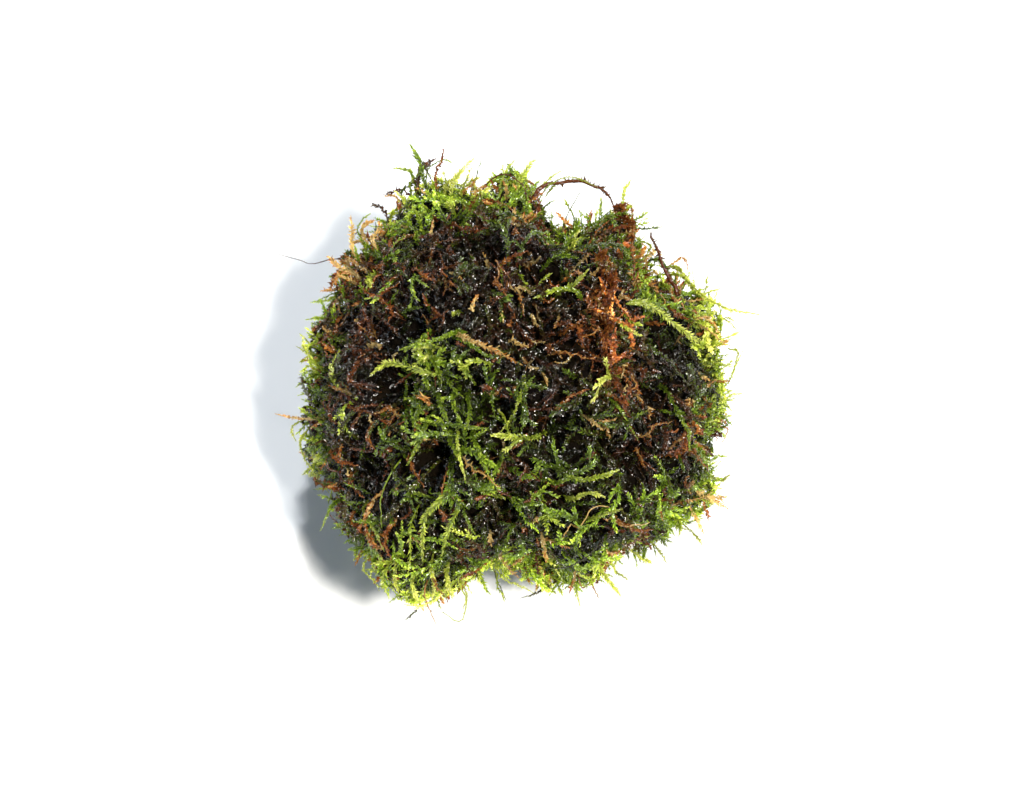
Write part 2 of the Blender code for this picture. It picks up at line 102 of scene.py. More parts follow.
def ball_radius(directions):
    """Distance from the centre to the ball's surface: the grid's four nearest radii, blended."""
    turns = np.arctan2(directions[..., 1], directions[..., 0]) % (2 * math.pi)
    rises = np.arcsin(np.clip(directions[..., 2], -1, 1))
    across = turns * MAP_COLUMNS / (2 * math.pi)
    up = np.clip((rises + math.pi / 2) * MAP_ROWS / math.pi - 0.5, 0, MAP_ROWS - 1.001)
    left = np.floor(across).astype(int)
    low = np.floor(up).astype(int)
    share_x = across - left
    share_y = up - low
    left = left % MAP_COLUMNS
    right = (left + 1) % MAP_COLUMNS
    lower = BALL_RADII[low, left] * (1 - share_x) + BALL_RADII[low, right] * share_x
    upper = BALL_RADII[low + 1, left] * (1 - share_x) + BALL_RADII[low + 1, right] * share_x
    return lower * (1 - share_y) + upper * share_y


def sight_point(column, row, lift):
    """The ball's point, raised by the lift, that a pixel shows, or the nearest past the ball's edge."""
    across = (column - VIEW_MIDDLE[0]) * VIEW_PIXEL
    up = (VIEW_MIDDLE[1] - row) * VIEW_PIXEL
    backs = np.linspace(45 * MM, -45 * MM, 900)[:, None]
    spread = 1 - backs / VIEW_DISTANCE
    points = BALL_CENTRE + (across * VIEW_RIGHT + up * VIEW_UP) * spread + backs * VIEW_BACK
    outside = np.linalg.norm(points - BALL_CENTRE, axis=1) - ball_radius(unit(points - BALL_CENTRE)) - lift
    hits = np.flatnonzero(outside <= 0)
    return points[hits[0] if len(hits) else int(np.argmin(outside))]


def closeness(directions, spots):
    """How near each direction is to each spot of the photograph: a bell curve over the spot's reach."""
    middles = unit(np.array([sight_point(spot[0], spot[1], 0) for spot in spots]) - BALL_CENTRE)
    reaches = np.array([spot[2] * VIEW_PIXEL / (36 * MM) for spot in spots])
    return np.exp(-(1 - directions @ middles.T) / (reaches ** 2 / 2))


def pit_share(directions):
    """How deep each direction lies in a dark hollow, from 0 outside to 1 in its middle."""
    return np.minimum(1.4 * closeness(directions, HOLLOWS).max(axis=1), 1)


MAP_DIRECTIONS = directions_at(*np.meshgrid(
    np.arange(MAP_COLUMNS) * 2 * math.pi / MAP_COLUMNS,
    (np.arange(MAP_ROWS) + 0.5) * math.pi / MAP_ROWS - math.pi / 2))
BALL_RADII = BALL_RADII - PIT_DEPTH * pit_share(MAP_DIRECTIONS.reshape(-1, 3)).reshape(MAP_ROWS, MAP_COLUMNS)


def ripple(directions, waves, seed):
    """Smooth waves round the ball between -1 and 1: three crossed sines, with their phases from the seed."""
    x, y, z = directions[..., 0], directions[..., 1], directions[..., 2]
    first = np.sin(waves * x + 1.7 * seed + 1.3 * np.sin(0.7 * waves * y))
    second = np.sin(waves * y + 2.9 * seed + 1.1 * np.sin(0.8 * waves * z))
    third = np.sin(waves * z + 4.3 * seed + 1.2 * np.sin(0.6 * waves * x))
    return (first + second + third) / 3


def new_mesh(name, points, faces, values=None):
    """A mesh object from arrays of points and of faces with equal numbers of corners.

    Each of the values becomes a named number at every point.
    """
    mesh = bpy.data.meshes.new(name)
    corners = faces.shape[1]
    mesh.vertices.add(len(points))
    mesh.vertices.foreach_set("co", points.astype(np.float32).ravel())
    mesh.loops.add(faces.size)
    mesh.loops.foreach_set("vertex_index", faces.astype(np.int32).ravel())
    mesh.polygons.add(len(faces))
    mesh.polygons.foreach_set("loop_start", np.arange(0, faces.size, corners, dtype=np.int32))
    mesh.polygons.foreach_set("use_smooth", np.ones(len(faces), dtype=bool))
    mesh.update(calc_edges=True)
    for label, numbers in (values or {}).items():
        mesh.attributes.new(label, "FLOAT", "POINT").data.foreach_set("value", numbers.astype(np.float32))
    mesh.validate()
    piece = bpy.data.objects.new(name, mesh)
    bpy.context.scene.collection.objects.link(piece)
    return piece


class Number:
    """A shader socket's value. Sums, differences, products and quotients of it add Math nodes."""

    def __init__(self, tree, socket):
        self.tree = tree
        self.socket = socket

    def math(self, operation, first, second):
        node = self.tree.nodes.new("ShaderNodeMath")
        node.operation = operation
        for socket, term in zip(node.inputs, (first, second)):
            if isinstance(term, Number):
                self.tree.links.new(term.socket, socket)
            else:
                socket.default_value = term
        return Number(self.tree, node.outputs[0])

    def __add__(self, other):
        return self.math("ADD", self, other)

    def __sub__(self, other):
        return self.math("SUBTRACT", self, other)

    def __rsub__(self, other):
        return self.math("SUBTRACT", other, self)

    def __mul__(self, other):
        return self.math("MULTIPLY", self, other)

    __radd__ = __add__
    __rmul__ = __mul__


class Finish:
    """A material that is put together node by node."""

    def __init__(self, name):
        self.material = bpy.data.materials.new(name)
        self.material.use_nodes = True
        self.tree = self.material.node_tree
        self.tree.nodes.clear()

    def add(self, kind, settings=None, sockets=None, output=0):
        """Adds a node with its settings, then its sockets' values or links, and gives one output back."""
        node = self.tree.nodes.new("ShaderNode" + kind)
        for field, setting in (settings or {}).items():
            if field == "stops":
                stops = node.color_ramp.elements
                while len(stops) < len(setting):
                    stops.new(1)
                for stop, (place, colour) in zip(stops, setting):
                    stop.position = place
                    stop.color = (*colour, 1)
            else:
                setattr(node, field, setting)
        for name, value in (sockets or {}).items():
            if isinstance(value, Number):
                self.tree.links.new(value.socket, node.inputs[name])
            else:
                node.inputs[name].default_value = value
        return Number(self.tree, node.outputs[output])

    def attribute(self, name):
        return self.add("Attribute", {"attribute_name": name}, output="Fac")

    def noise(self, scale, detail=3.0):
        place = self.add("TexCoord", output="Object")
        return self.add("TexNoise", {}, {"Vector": place, "Scale": scale, "Detail": detail})

    def tinted(self, colour, amount):
        """A colour made darker or lighter by a number."""
        return self.add("VectorMath", {"operation": "SCALE"}, {0: colour, "Scale": amount})

    def blend(self, share, first, second):
        return self.add("Mix", {"data_type": "RGBA"}, {0: share, 6: first, 7: second}, output=2)

    def end(self, surface):
        sheet = self.tree.nodes.new("ShaderNodeOutputMaterial")
        self.tree.links.new(surface.socket, sheet.inputs["Surface"])
        return self.material


def ring_faces(rings, sides, closed):
    """Triangles over a first point, the rings of points that follow it, and a last point if closed."""
    spot = 1 + np.arange(rings * sides).reshape(rings, sides)
    beside = np.roll(spot, -1, axis=1)
    corners = [(0 * spot[:1], spot[:1], beside[:1]), (spot[:-1], spot[1:], beside[1:]),
               (spot[:-1], beside[1:], beside[:-1])]
    if closed:
        corners.append((0 * spot[:1] + rings * sides + 1, beside[-1:], spot[-1:]))
    return np.concatenate([np.stack(three, axis=-1).reshape(-1, 3) for three in corners])


def mat_grid():
    """The mat's points from the top down: the ball's surface, sunk and broken up by ridges, and its faces."""
    turns = np.arange(MAT_COLUMNS) * 2 * math.pi / MAT_COLUMNS
    rises = np.linspace(0.5, -0.5, MAT_ROWS + 2)[1:-1] * math.pi
    rings = directions_at(*np.meshgrid(turns, rises)).reshape(-1, 3)
    directions = np.concatenate([[[0, 0, 1]], rings, [[0, 0, -1]]])
    ridges = np.abs(ripple(directions, 34, 1)) + np.abs(ripple(directions, 61, 2)) - 0.6
    reach = ball_radius(directions) - MAT_DEPTH + MAT_RIDGE * ridges
    points = BALL_CENTRE + directions * reach[..., None]
    points[..., 2] = np.maximum(points[..., 2], 0.5 * MM)
    return points, ring_faces(MAT_ROWS, MAT_COLUMNS, True)


def mat_finish():
    finish = Finish("sodden_mat")
    patches = finish.noise(260.0)
    # Near black: the sodden moss's own dark brown, darkened further as painted shade for the depth of the tangle.
    colour = finish.add("ValToRGB", {"stops": [
        (0.30, (0.002, 0.001, 0.001)), (0.55, (0.005, 0.003, 0.001)), (0.75, (0.012, 0.005, 0.002))]},
        {"Fac": patches})
    grain = finish.noise(1600.0)
    bump = finish.add("Bump", {}, {"Height": grain, "Strength": 1.0, "Distance": 1.0 * MM})
    surface = finish.add("BsdfPrincipled", {}, {"Base Color": colour, "Roughness": 0.8, "Normal": bump,
                                                "Specular IOR Level": 0.05})
    return finish.end(surface)


mat = new_mesh("sodden_mat", *mat_grid())
mat.data.materials.append(mat_finish())
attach(mat, "root")
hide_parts("moss_ball")

# The matted shoots
# Thousands of leafy java moss shoots, each a fine stem with small pointed leaves that overlap. They root
# in the mat, lie over each other in every direction and end at the ball's surface.

UNDER_COUNT = 2450
TUFT_COUNT = 435
SHOOTS_A_TUFT = 4
CREST_COUNT = 730
SIDES_A_SHOOT = 2
SCRAP_COUNT = 230
SHOOTS_A_PIECE = 1300

# Patches of like moss: column, row and reach in the photograph, and the moss's age and brightness there.
# The brightness is partly the moss's own lightness and partly painted light and shade.
# Age 0 is a fresh yellow-green tip, 0.3 bright green, 0.5 dark green, 0.7 dark brown, 0.8 rust, 1 straw.
PATCHES = [
    (430, 195, 45, 0.14, 1.9), (500, 195, 30, 0.38, 1.3), (585, 215, 30, 0.42, 1.2), (450, 260, 60, 0.68, 0.58),
    (540, 280, 55, 0.66, 0.55), (370, 262, 36, 0.82, 1.1), (335, 330, 35, 0.68, 0.6), (350, 400, 45, 0.66, 0.5),
    (306, 350, 16, 0.12, 1.4), (345, 460, 40, 0.62, 0.55), (440, 370, 45, 0.29, 0.85), (470, 430, 45, 0.32, 0.85),
    (410, 440, 25, 0.48, 0.6), (540, 370, 35, 0.62, 0.45), (570, 430, 40, 0.60, 0.38), (612, 250, 22, 0.82, 2.4),
    (608, 310, 24, 0.84, 2.6), (612, 370, 24, 0.82, 2.7), (665, 300, 26, 0.42, 1.0), (650, 262, 16, 0.90, 1.6), (688, 300, 12, 0.62, 1.2), (705, 330, 30, 0.16, 1.3),
    (670, 370, 35, 0.58, 0.6), (700, 410, 35, 0.56, 0.7), (660, 440, 25, 0.78, 0.9), (700, 470, 25, 0.52, 1.4),
    (560, 500, 55, 0.42, 1.2), (605, 478, 22, 0.22, 1.2), (640, 520, 35, 0.48, 1.5), (600, 560, 30, 0.28, 1.8),
    (520, 550, 40, 0.38, 1.8), (550, 585, 25, 0.40, 1.7), (370, 510, 35, 0.58, 0.7), (385, 560, 30, 0.36, 1.4),
    (430, 550, 35, 0.34, 1.4), (450, 590, 30, 0.10, 1.8), (500, 590, 25, 0.22, 1.9), (690, 510, 25, 0.30, 1.8),
    (725, 380, 18, 0.20, 1.3), (480, 320, 35, 0.62, 0.55), (400, 215, 30, 0.42, 1.1), (540, 225, 30, 0.66, 0.8),
]

# How the shoots of each kind are built: the stem's radius and sides, the leaves' length and their breadth
# as a share of it, the step from one leaf to the next, how far they turn about the stem, how much their
# tips curl, and their corners
SHOOT_FORMS = {
    "under": (0.14 * MM, 3, 1.05 * MM, 0.48, 0.30 * MM, 0.8, 0.15, 3),
    "surface": (0.12 * MM, 3, 0.74 * MM, 0.48, 0.125 * MM, 0.9, 0.15, 3),
    "crest": (0.13 * MM, 3, 0.80 * MM, 0.48, 0.110 * MM, 1.0, 0.12, 4),
    "fringe": (0.12 * MM, 3, 0.76 * MM, 0.48, 0.115 * MM, 1.0, 0.12, 3),
    "rope": (0.16 * MM, 5, 0.76 * MM, 0.48, 0.062 * MM, 1.1, 0.10, 4),
    "slim": (0.13 * MM, 5, 0.56 * MM, 0.4, 0.080 * MM, 1.0, 0.10, 4),
    "rust": (0.18 * MM, 5, 0.66 * MM, 0.52, 0.095 * MM, 1.5, 0.45, 4),
    "clump": (0.20 * MM, 5, 1.05 * MM, 0.4, 0.050 * MM, 2.2, 0.70, 4),
    "comb": (0.14 * MM, 5, 1.10 * MM, 0.24, 0.10 * MM, 0.55, 0.10, 4),
    "twig": (0.17 * MM, 5, 0.62 * MM, 0.48, 0.16 * MM, 1.8, 0.60, 4),
    "bark": (0.46 * MM, 7, 0.80 * MM, 0.48, 0.13 * MM, 1.6, 0.60, 4),
    "stem": (0.18 * MM, 5, 0.45 * MM, 0.48, 0.90 * MM, 1.4, 0.30, 4),
    "fibre": (0.13 * MM, 5, 0.10 * MM, 0.48, 4.00 * MM, 1.4, 0.30, 4),
}
LEAF_FOLD = -0.24
LEAF_LEAN = math.radians(42)
# What each corner of a leaf adds to its age, and how much of its shade it has
LEAF_TONES = {3: ((0.03, -0.05, 0.03), (0.7, 1.25, 0.7)),
              4: ((0.05, 0.0, -0.05, 0.0), (0.55, 1.0, 1.25, 1.0))}


def age_of(directions, chance):
    """The age of the moss in each direction: the photograph's patches, and waves of age where none is."""
    near = closeness(directions, PATCHES)
    waves = 0.50 + 0.34 * ripple(directions, 9, 5) + 0.20 * ripple(directions, 21, 6)
    ages = np.array([patch[3] for patch in PATCHES])
    age = (near @ ages + 0.15 * waves) / (near.sum(axis=-1) + 0.15)
    age = age + 0.08 * chance.normal(size=len(age))
    odd = chance.random(len(age))
    age = np.where(odd < 0.09, chance.uniform(0.74, 0.92, len(age)), age)
    age = np.where(odd > 0.965, chance.uniform(0.15, 0.42, len(age)), age)
    return np.clip(age, 0.0, 1.0)


def tone_and_painted_light_of(directions, ages):
    """How bright the moss is, its lightness with painted light and shade: the photograph's patches of like age, and
    even where none is.
    """
    near = closeness(directions, PATCHES)
    like = np.abs(ages[:, None] - np.array([patch[3] for patch in PATCHES])) < 0.3
    levels = np.where(like, np.array([patch[4] for patch in PATCHES]), 0.8)
    return ((near * levels).sum(axis=1) + 0.15) / (near.sum(axis=1) + 0.15)


def trailing_paths(roots, headings, lengths, bends, heights):
    """The points of many shoots at once, and the way that is outwards at each.

    From its root direction a shoot steps round the ball along its heading, which turns by its bend at
    each step, and it stands at its own height over the ball's surface at each point.
    """
    directions = roots
    level = unit(np.cross(directions, np.array([0.2, 0.3, 1.0])))
    ahead = np.cos(headings)[:, None] * level + np.sin(headings)[:, None] * np.cross(directions, level)
    count, steps = heights.shape
    points = np.empty((count, steps, 3))
    stride = lengths / (steps - 1)
    for step in range(steps):
        radius = ball_radius(directions) + heights[:, step]
        points[:, step] = BALL_CENTRE + directions * radius[:, None]
        ahead = unit(ahead + bends[:, step, None] * np.cross(directions, ahead))
        directions = unit(directions + ahead * (stride / radius)[:, None])
        ahead = unit(ahead - directions * np.sum(ahead * directions, axis=1, keepdims=True))
    points[..., 2] = np.maximum(points[..., 2], 0.35 * MM)
    return points, unit(points - BALL_CENTRE)


def path_frames(points, outward, rolls):
    """Along, side and face directions at each point of each path, rolled about the path."""
    along = unit(np.gradient(points, axis=1))
    side = unit(np.cross(along, outward))
    face = np.cross(side, along)
    cos, sin = np.cos(rolls)[:, :, None], np.sin(rolls)[:, :, None]
    return along, side * cos + face * sin, face * cos - side * sin


def stem_tubes(points, side, face, radii, sides):
    """Round stems: a ring of points round each path point, joined to the next ring, with closed ends."""
    count, steps = points.shape[:2]
    angles = np.arange(sides) * 2 * math.pi / sides
    ring = (side[:, :, None] * np.cos(angles)[:, None] + face[:, :, None] * np.sin(angles)[:, None])
    corners = points[:, :, None] + ring * radii[:, :, None, None]
    spot = np.arange(count * steps * sides).reshape(count, steps, sides)
    beside = np.roll(spot, -1, axis=2)
    walls = np.stack([spot[:, :-1], spot[:, 1:], beside[:, 1:], beside[:, :-1]], axis=-1).reshape(-1, 4)
    faces = [walls[:, [0, 1, 2]], walls[:, [0, 2, 3]]]
    for corner in range(1, sides - 1):
        faces.append(spot[:, 0][:, [0, corner, corner + 1]])
        faces.append(spot[:, -1][:, [0, corner + 1, corner]])
    return corners.reshape(-1, 3), np.concatenate(faces)


def at_places(values, shoots, places):
    """Values along the paths at fractional places, each blended from the path points beside it."""
    low = np.minimum(places.astype(int), values.shape[1] - 2)
    share = (places - low)[:, None]
    return values[shoots, low] * (1 - share) + values[shoots, low + 1] * share


def leaf_blades(base, ahead, across, face, lengths, widths, curl, corners):
    """Pointed leaves. With four corners they are folded along the middle and bent at the tip."""
    half = across * (0.5 * widths)[:, None]
    tip = base + ahead * lengths[:, None] + face * (curl * lengths)[:, None]
    first = corners * np.arange(len(base))[:, None]
    if corners == 3:
        foot = base + ahead * (0.15 * lengths)[:, None]
        return np.stack([foot + half, tip, foot - half], axis=1).reshape(-1, 3), first + [0, 1, 2]
    middle = base + ahead * (0.42 * lengths)[:, None] + face * (LEAF_FOLD * widths)[:, None]
    points = np.stack([base, middle + half, tip, middle - half], axis=1)
    return points.reshape(-1, 3), np.concatenate([first + [0, 1, 2], first + [0, 2, 3]])


def leafy_shoots(shoots, form, chance):
    """Stems with their leaves, as points, faces and the age and shade at each point.

    Leaves stand alternately to the left and right, turned about the stem by chance. They lean towards
    the tip, overlap, and are smaller at both ends. Old ones are withered, small and curled. A leaf is
    darker at its base than at its tip.
    """
    points, outward, rolls, widths, ages, shades = shoots
    stem_radius, sides, leaf_length, leaf_breadth, spacing, spread, curling, leaf_corners = SHOOT_FORMS[form]
    along, side, face = path_frames(points, outward, rolls)
    count, steps = points.shape[:2]
    taper = np.linspace(1, 0.35, steps) * chance.uniform(0.8, 1.2, (count, steps))
    stem_points, stem_faces = stem_tubes(points, side, face, stem_radius * widths[:, None] * taper, sides)
    reach = np.linalg.norm(np.diff(points, axis=1), axis=2).sum(axis=1)
    leaves = np.maximum((reach / spacing).astype(int), 3)
    owner = np.repeat(np.arange(count), leaves)
    order = np.arange(len(owner)) - np.repeat(np.cumsum(leaves) - leaves, leaves)
    share = (order + 0.7) / leaves[owner]
    places = share * (steps - 1)
    sign = np.where(order % 2 == 0, 1.0, -1.0)
    base = at_places(points, owner, places)
    leaf_along = unit(at_places(along, owner, places))
    leaf_side = unit(at_places(side, owner, places))
    leaf_face = unit(at_places(face, owner, places))
    small = np.minimum(1.0, 0.40 + 2.6 * (1 - share)) * np.minimum(1.0, 0.6 + 3 * share)
    lean = LEAF_LEAN * (0.45 + 0.55 * small) + 0.16 * chance.normal(size=len(share))
    turned = spread * chance.normal(size=len(share)) + 0.1
    out = sign[:, None] * leaf_side * np.cos(turned)[:, None] + leaf_face * np.sin(turned)[:, None]
    ahead = leaf_along * np.cos(lean)[:, None] + out * np.sin(lean)[:, None]
    normal = unit(leaf_face - ahead * np.sum(leaf_face * ahead, axis=1, keepdims=True))
    tilt = 0.6 * chance.normal(size=(len(share), 1))
    normal = normal * np.cos(tilt) + np.cross(ahead, normal) * np.sin(tilt)
    withered = np.clip((ages[owner] - 0.5) / 0.12, 0, 1)
    size = leaf_length * small * widths[owner] * chance.uniform(0.75, 1.2, len(share)) * (1 - 0.2 * withered)
    curl = (curling + 0.4 * withered) * chance.normal(size=len(share))
    breadth = leaf_breadth * size * (1 + 0.8 * withered)
    leaf_points, leaf_faces = leaf_blades(base, ahead, np.cross(ahead, normal), normal, size, breadth, curl,
                                          leaf_corners)
    stem_age = np.repeat(ages, steps * sides) + 0.06
    stem_shade = np.repeat(shades, steps * sides) * 0.75
    leaf_age = ages[owner] + 0.14 * (0.5 - share) + 0.04 * chance.normal(size=len(share))
    leaf_shade = shades[owner] * (0.6 + 0.5 * share) * chance.uniform(0.65, 1.3, len(share))
    all_points = np.concatenate([stem_points, leaf_points])
    all_points[:, 2] = np.maximum(all_points[:, 2], 0.05 * MM)
    all_faces = np.concatenate([stem_faces, leaf_faces + len(stem_points)])
    across_ages, across_shades = LEAF_TONES[leaf_corners]
    leaf_ages = leaf_age[:, None] + np.array(across_ages)
    leaf_shades = leaf_shade[:, None] * np.array(across_shades)
    values = {"age": np.clip(np.concatenate([stem_age, leaf_ages.ravel()]), 0, 1),
              "shade": np.concatenate([stem_shade, leaf_shades.ravel()])}
    return all_points, all_faces, values


def moss_finish(name, through_share, gloss, dull):
    """Wet moss: the colour of its age, darker by its shade, under a film of water, and lit through.

    The shade holds the moss's own tone together with painted shade and light.
    """
    finish = Finish(name)
    age = finish.attribute("age")
    shade = finish.attribute("shade")
    colour = finish.add("ValToRGB", {"stops": [
        (0.00, (0.84, 0.84, 0.20)), (0.12, (0.54, 0.62, 0.065)), (0.28, (0.210, 0.320, 0.017)),
        (0.42, (0.080, 0.128, 0.009)), (0.54, (0.070, 0.050, 0.010)), (0.68, (0.072, 0.028, 0.012)),
        (0.78, (0.220, 0.055, 0.014)), (0.88, (0.50, 0.19, 0.03)), (0.96, (0.86, 0.62, 0.22))]},
        {"Fac": age})
    shown = finish.tinted(colour, shade)
    wet = finish.noise(900.0)
    drops = finish.noise(2600.0, 1.0)
    bump = finish.add("Bump", {}, {"Height": drops, "Strength": 1.0, "Distance": 0.20 * MM})
    skin = finish.add("BsdfPrincipled", {}, {
        "Base Color": shown, "Roughness": dull + 0.10 * wet, "Normal": bump, "Specular IOR Level": gloss})
    through = finish.add("BsdfTranslucent", {}, {"Color": shown})
    return finish.end(finish.add("MixShader", {}, {0: through_share, 1: skin, 2: through}))


def headings_of(ahead, directions):
    """The heading angles that trailing_paths turns back into the ways ahead."""
    level = unit(np.cross(directions, np.array([0.2, 0.3, 1.0])))
    return np.arctan2(np.sum(ahead * np.cross(directions, level), axis=1), np.sum(ahead * level, axis=1))


def twisting_rolls(count, steps, chance):
    """How far each shoot's two ranks are rolled about it: its own roll, with a slight twist along it."""
    return chance.normal(0, 0.6, (count, 1)) + np.cumsum(0.15 * chance.normal(size=(count, steps)), axis=1)


def under_shoots(chance):
    """Shoots deep in the tangle: old, and darkened with painted shade for their depth and in the hollows."""
    steps = 4
    roots = unit(chance.normal(size=(UNDER_COUNT, 3)))
    lengths = chance.uniform(5 * MM, 11 * MM, UNDER_COUNT)
    headings = chance.uniform(0, 2 * math.pi, UNDER_COUNT)
    bends = 0.3 * chance.normal(size=(UNDER_COUNT, steps))
    heights = chance.uniform(-3.2 * MM, -1.4 * MM, (UNDER_COUNT, 1)) + 0.5 * MM * chance.normal(
        size=(UNDER_COUNT, steps))
    points, outward = trailing_paths(roots, headings, lengths, bends, heights)
    middles = unit(points[:, steps // 2] - BALL_CENTRE)
    ages = 0.5 * age_of(middles, chance) + 0.5 * chance.uniform(0.50, 0.74, UNDER_COUNT)
    # Painted shade: dim for lying deep, and dimmer still in the hollows.
    shades = chance.uniform(0.12, 0.40, UNDER_COUNT) * tone_and_painted_light_of(middles, ages) * (1 - 0.7 * pit_share(middles))
    widths = chance.uniform(0.8, 1.2, UNDER_COUNT)
    return points, outward, twisting_rolls(UNDER_COUNT, steps, chance), widths, ages, shades


def tuft_shoots(chance):
    """Shoots just under the surface, in tufts that root together and fan out the same way."""
    steps = 7
    tufts = unit(chance.normal(size=(TUFT_COUNT, 3)))
    tuft_ages = age_of(tufts, chance)
    tuft = np.repeat(np.arange(TUFT_COUNT), SHOOTS_A_TUFT)
    count = len(tuft)
    roots = unit(tufts[tuft] + 0.05 * chance.normal(size=(count, 3)))
    headings = chance.uniform(0, 2 * math.pi, TUFT_COUNT)[tuft] + chance.normal(0, 0.5, count)
    lengths = chance.uniform(6.0 * MM, 13.0 * MM, TUFT_COUNT)[tuft] * chance.uniform(0.7, 1.1, count)
    bends = 0.20 * chance.normal(size=(count, 1)) + 0.26 * chance.normal(size=(count, steps))
    share = np.linspace(0, 1, steps)
    layer = -2.4 * MM * chance.random(count) - 0.2 * MM
    tip = chance.normal(0.2 * MM, 0.8 * MM, count)
    heights = (layer[:, None] - 2.5 * MM * np.maximum(0, 1 - 2.2 * share) + tip[:, None] * share ** 2
               + 0.3 * MM * chance.normal(size=(count, steps)))
    points, outward = trailing_paths(roots, headings, lengths, bends, heights)
    middles = unit(points[:, steps // 2] - BALL_CENTRE)
    pits = pit_share(middles)
    ages = 0.6 * tuft_ages[tuft] + 0.4 * age_of(middles, chance)
    ages = np.clip(ages + 0.10 * np.maximum(0.0, 0.6 - ages) / 0.3, 0, 1)
    # Painted shade: darker the deeper the layer lies, and darker in the hollows.
    shades = (0.88 + 0.30 * layer / MM) * chance.uniform(0.6, 1.2, count) * (1 - 0.8 * pits)
    shades = shades * tone_and_painted_light_of(middles, ages)
    kept = chance.random(count) > 0.85 * pits
    widths = chance.uniform(0.8, 1.2, count)
    rolls = twisting_rolls(count, steps, chance)
    return [values[kept] for values in (points, outward, rolls, widths, ages, shades)]


def crest_shoots(chance):
    """The uppermost shoots: fewer, brighter in part by painted light on the top layer, lying free over the others
    in loose curves.
    """
    steps = 8
    roots = unit(chance.normal(size=(CREST_COUNT, 3)))
    lengths = chance.uniform(4.5 * MM, 12.0 * MM, CREST_COUNT)
    headings = chance.uniform(0, 2 * math.pi, CREST_COUNT)
    bends = 0.16 * chance.normal(size=(CREST_COUNT, 1)) + 0.16 * chance.normal(size=(CREST_COUNT, steps))
    share = np.linspace(0, 1, steps)
    lift = chance.uniform(-0.2 * MM, 1.0 * MM, CREST_COUNT)
    tip = chance.normal(0.5 * MM, 0.9 * MM, CREST_COUNT)
    heights = (lift[:, None] - 2.8 * MM * np.maximum(0, 1 - 3.0 * share) + tip[:, None] * share ** 2
               + 0.2 * MM * chance.normal(size=(CREST_COUNT, steps)))
    points, outward = trailing_paths(roots, headings, lengths, bends, heights)
    middles = unit(points[:, steps // 2] - BALL_CENTRE)
    pits = pit_share(middles)
    ages = age_of(middles, chance)
    ages = np.where(ages < 0.6, ages - 0.08, ages)
    shades = chance.uniform(0.9, 1.5, CREST_COUNT) * tone_and_painted_light_of(middles, ages)
    browner = np.clip((ages - 0.5) / 0.15, 0, 1) * (ages < 0.78)
    kept = chance.random(CREST_COUNT) > np.maximum(0.95 * pits, 0.3 * browner)
    widths = chance.uniform(0.85, 1.3, CREST_COUNT)
    rolls = twisting_rolls(CREST_COUNT, steps, chance)
    return [values[kept] for values in (points, outward, rolls, widths, np.clip(ages, 0, 1), shades)]


def side_shoots(parents, chance):
    """Short side shoots that leave each shoot of the surface to the left and right, half way up it."""
    steps = 4
    points, outward, _, widths, ages, shades = parents
    parent = np.repeat(np.arange(len(points)), SIDES_A_SHOOT)
    count = len(parent)
    places = chance.uniform(0.25, 0.8, count) * (points.shape[1] - 1)
    start = at_places(points, parent, places)
    directions = unit(start - BALL_CENTRE)
    ahead = at_places(np.gradient(points, axis=1), parent, places)
    lean = np.where(np.arange(count) % 2 == 0, 1, -1) * chance.normal(0.85, 0.2, count)
    headings = headings_of(unit(ahead), directions) + lean
    height = np.linalg.norm(start - BALL_CENTRE, axis=1) - ball_radius(directions)
    lift = chance.normal(0.3 * MM, 0.6 * MM, count)
    heights = height[:, None] + lift[:, None] * np.linspace(0, 1, steps)
    bends = 0.2 * chance.normal(size=(count, steps))
    lengths = chance.uniform(2.0 * MM, 4.6 * MM, count)
    side_points, side_outward = trailing_paths(directions, headings, lengths, bends, heights)
    side_ages = np.clip(ages[parent] - 0.03, 0, 1)
    return (side_points, side_outward, twisting_rolls(count, steps, chance), 0.9 * widths[parent], side_ages,
            shades[parent] * chance.uniform(0.9, 1.2, count))


def add_shoots(name, shoots, form, finish, chance):
    """Puts shoots into the scene, as pieces that are small enough to export whole."""
    for number, first in enumerate(range(0, len(shoots[0]), SHOOTS_A_PIECE)):
        part = [values[first:first + SHOOTS_A_PIECE] for values in shoots]
        piece = new_mesh(f"{name}_{number + 1}", *leafy_shoots(part, form, chance))
        piece.data.materials.append(finish)
        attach(piece, "root")


def rust_scraps(chance):
    """Dead bits that lie crumpled among the shoots: short thick twigs with kinks and few leaves."""
    steps = 6
    roots = unit(chance.normal(size=(2 * SCRAP_COUNT, 3)))
    zone_ages = age_of(roots, chance)
    roots = roots[np.argsort(np.abs(zone_ages - 0.8) + 0.5 * chance.random(len(roots)))[:SCRAP_COUNT]]
    lengths = chance.uniform(1.6 * MM, 4.6 * MM, SCRAP_COUNT)
    headings = chance.uniform(0, 2 * math.pi, SCRAP_COUNT)
    bends = 0.5 * chance.normal(size=(SCRAP_COUNT, steps))
    heights = chance.uniform(-0.9 * MM, 0.9 * MM, (SCRAP_COUNT, 1)) + 0.35 * MM * chance.normal(
        size=(SCRAP_COUNT, steps))
    points, outward = trailing_paths(roots, headings, lengths, bends, heights)
    ages = 0.73 + 0.27 * chance.random(SCRAP_COUNT) ** 2.2
    # Painted shade in the hollows.
    shades = chance.uniform(0.45, 1.15, SCRAP_COUNT) * (1 - 0.6 * pit_share(roots))
    widths = chance.uniform(0.6, 1.3, SCRAP_COUNT)
    return points, outward, twisting_rolls(SCRAP_COUNT, steps, chance), widths, ages, shades


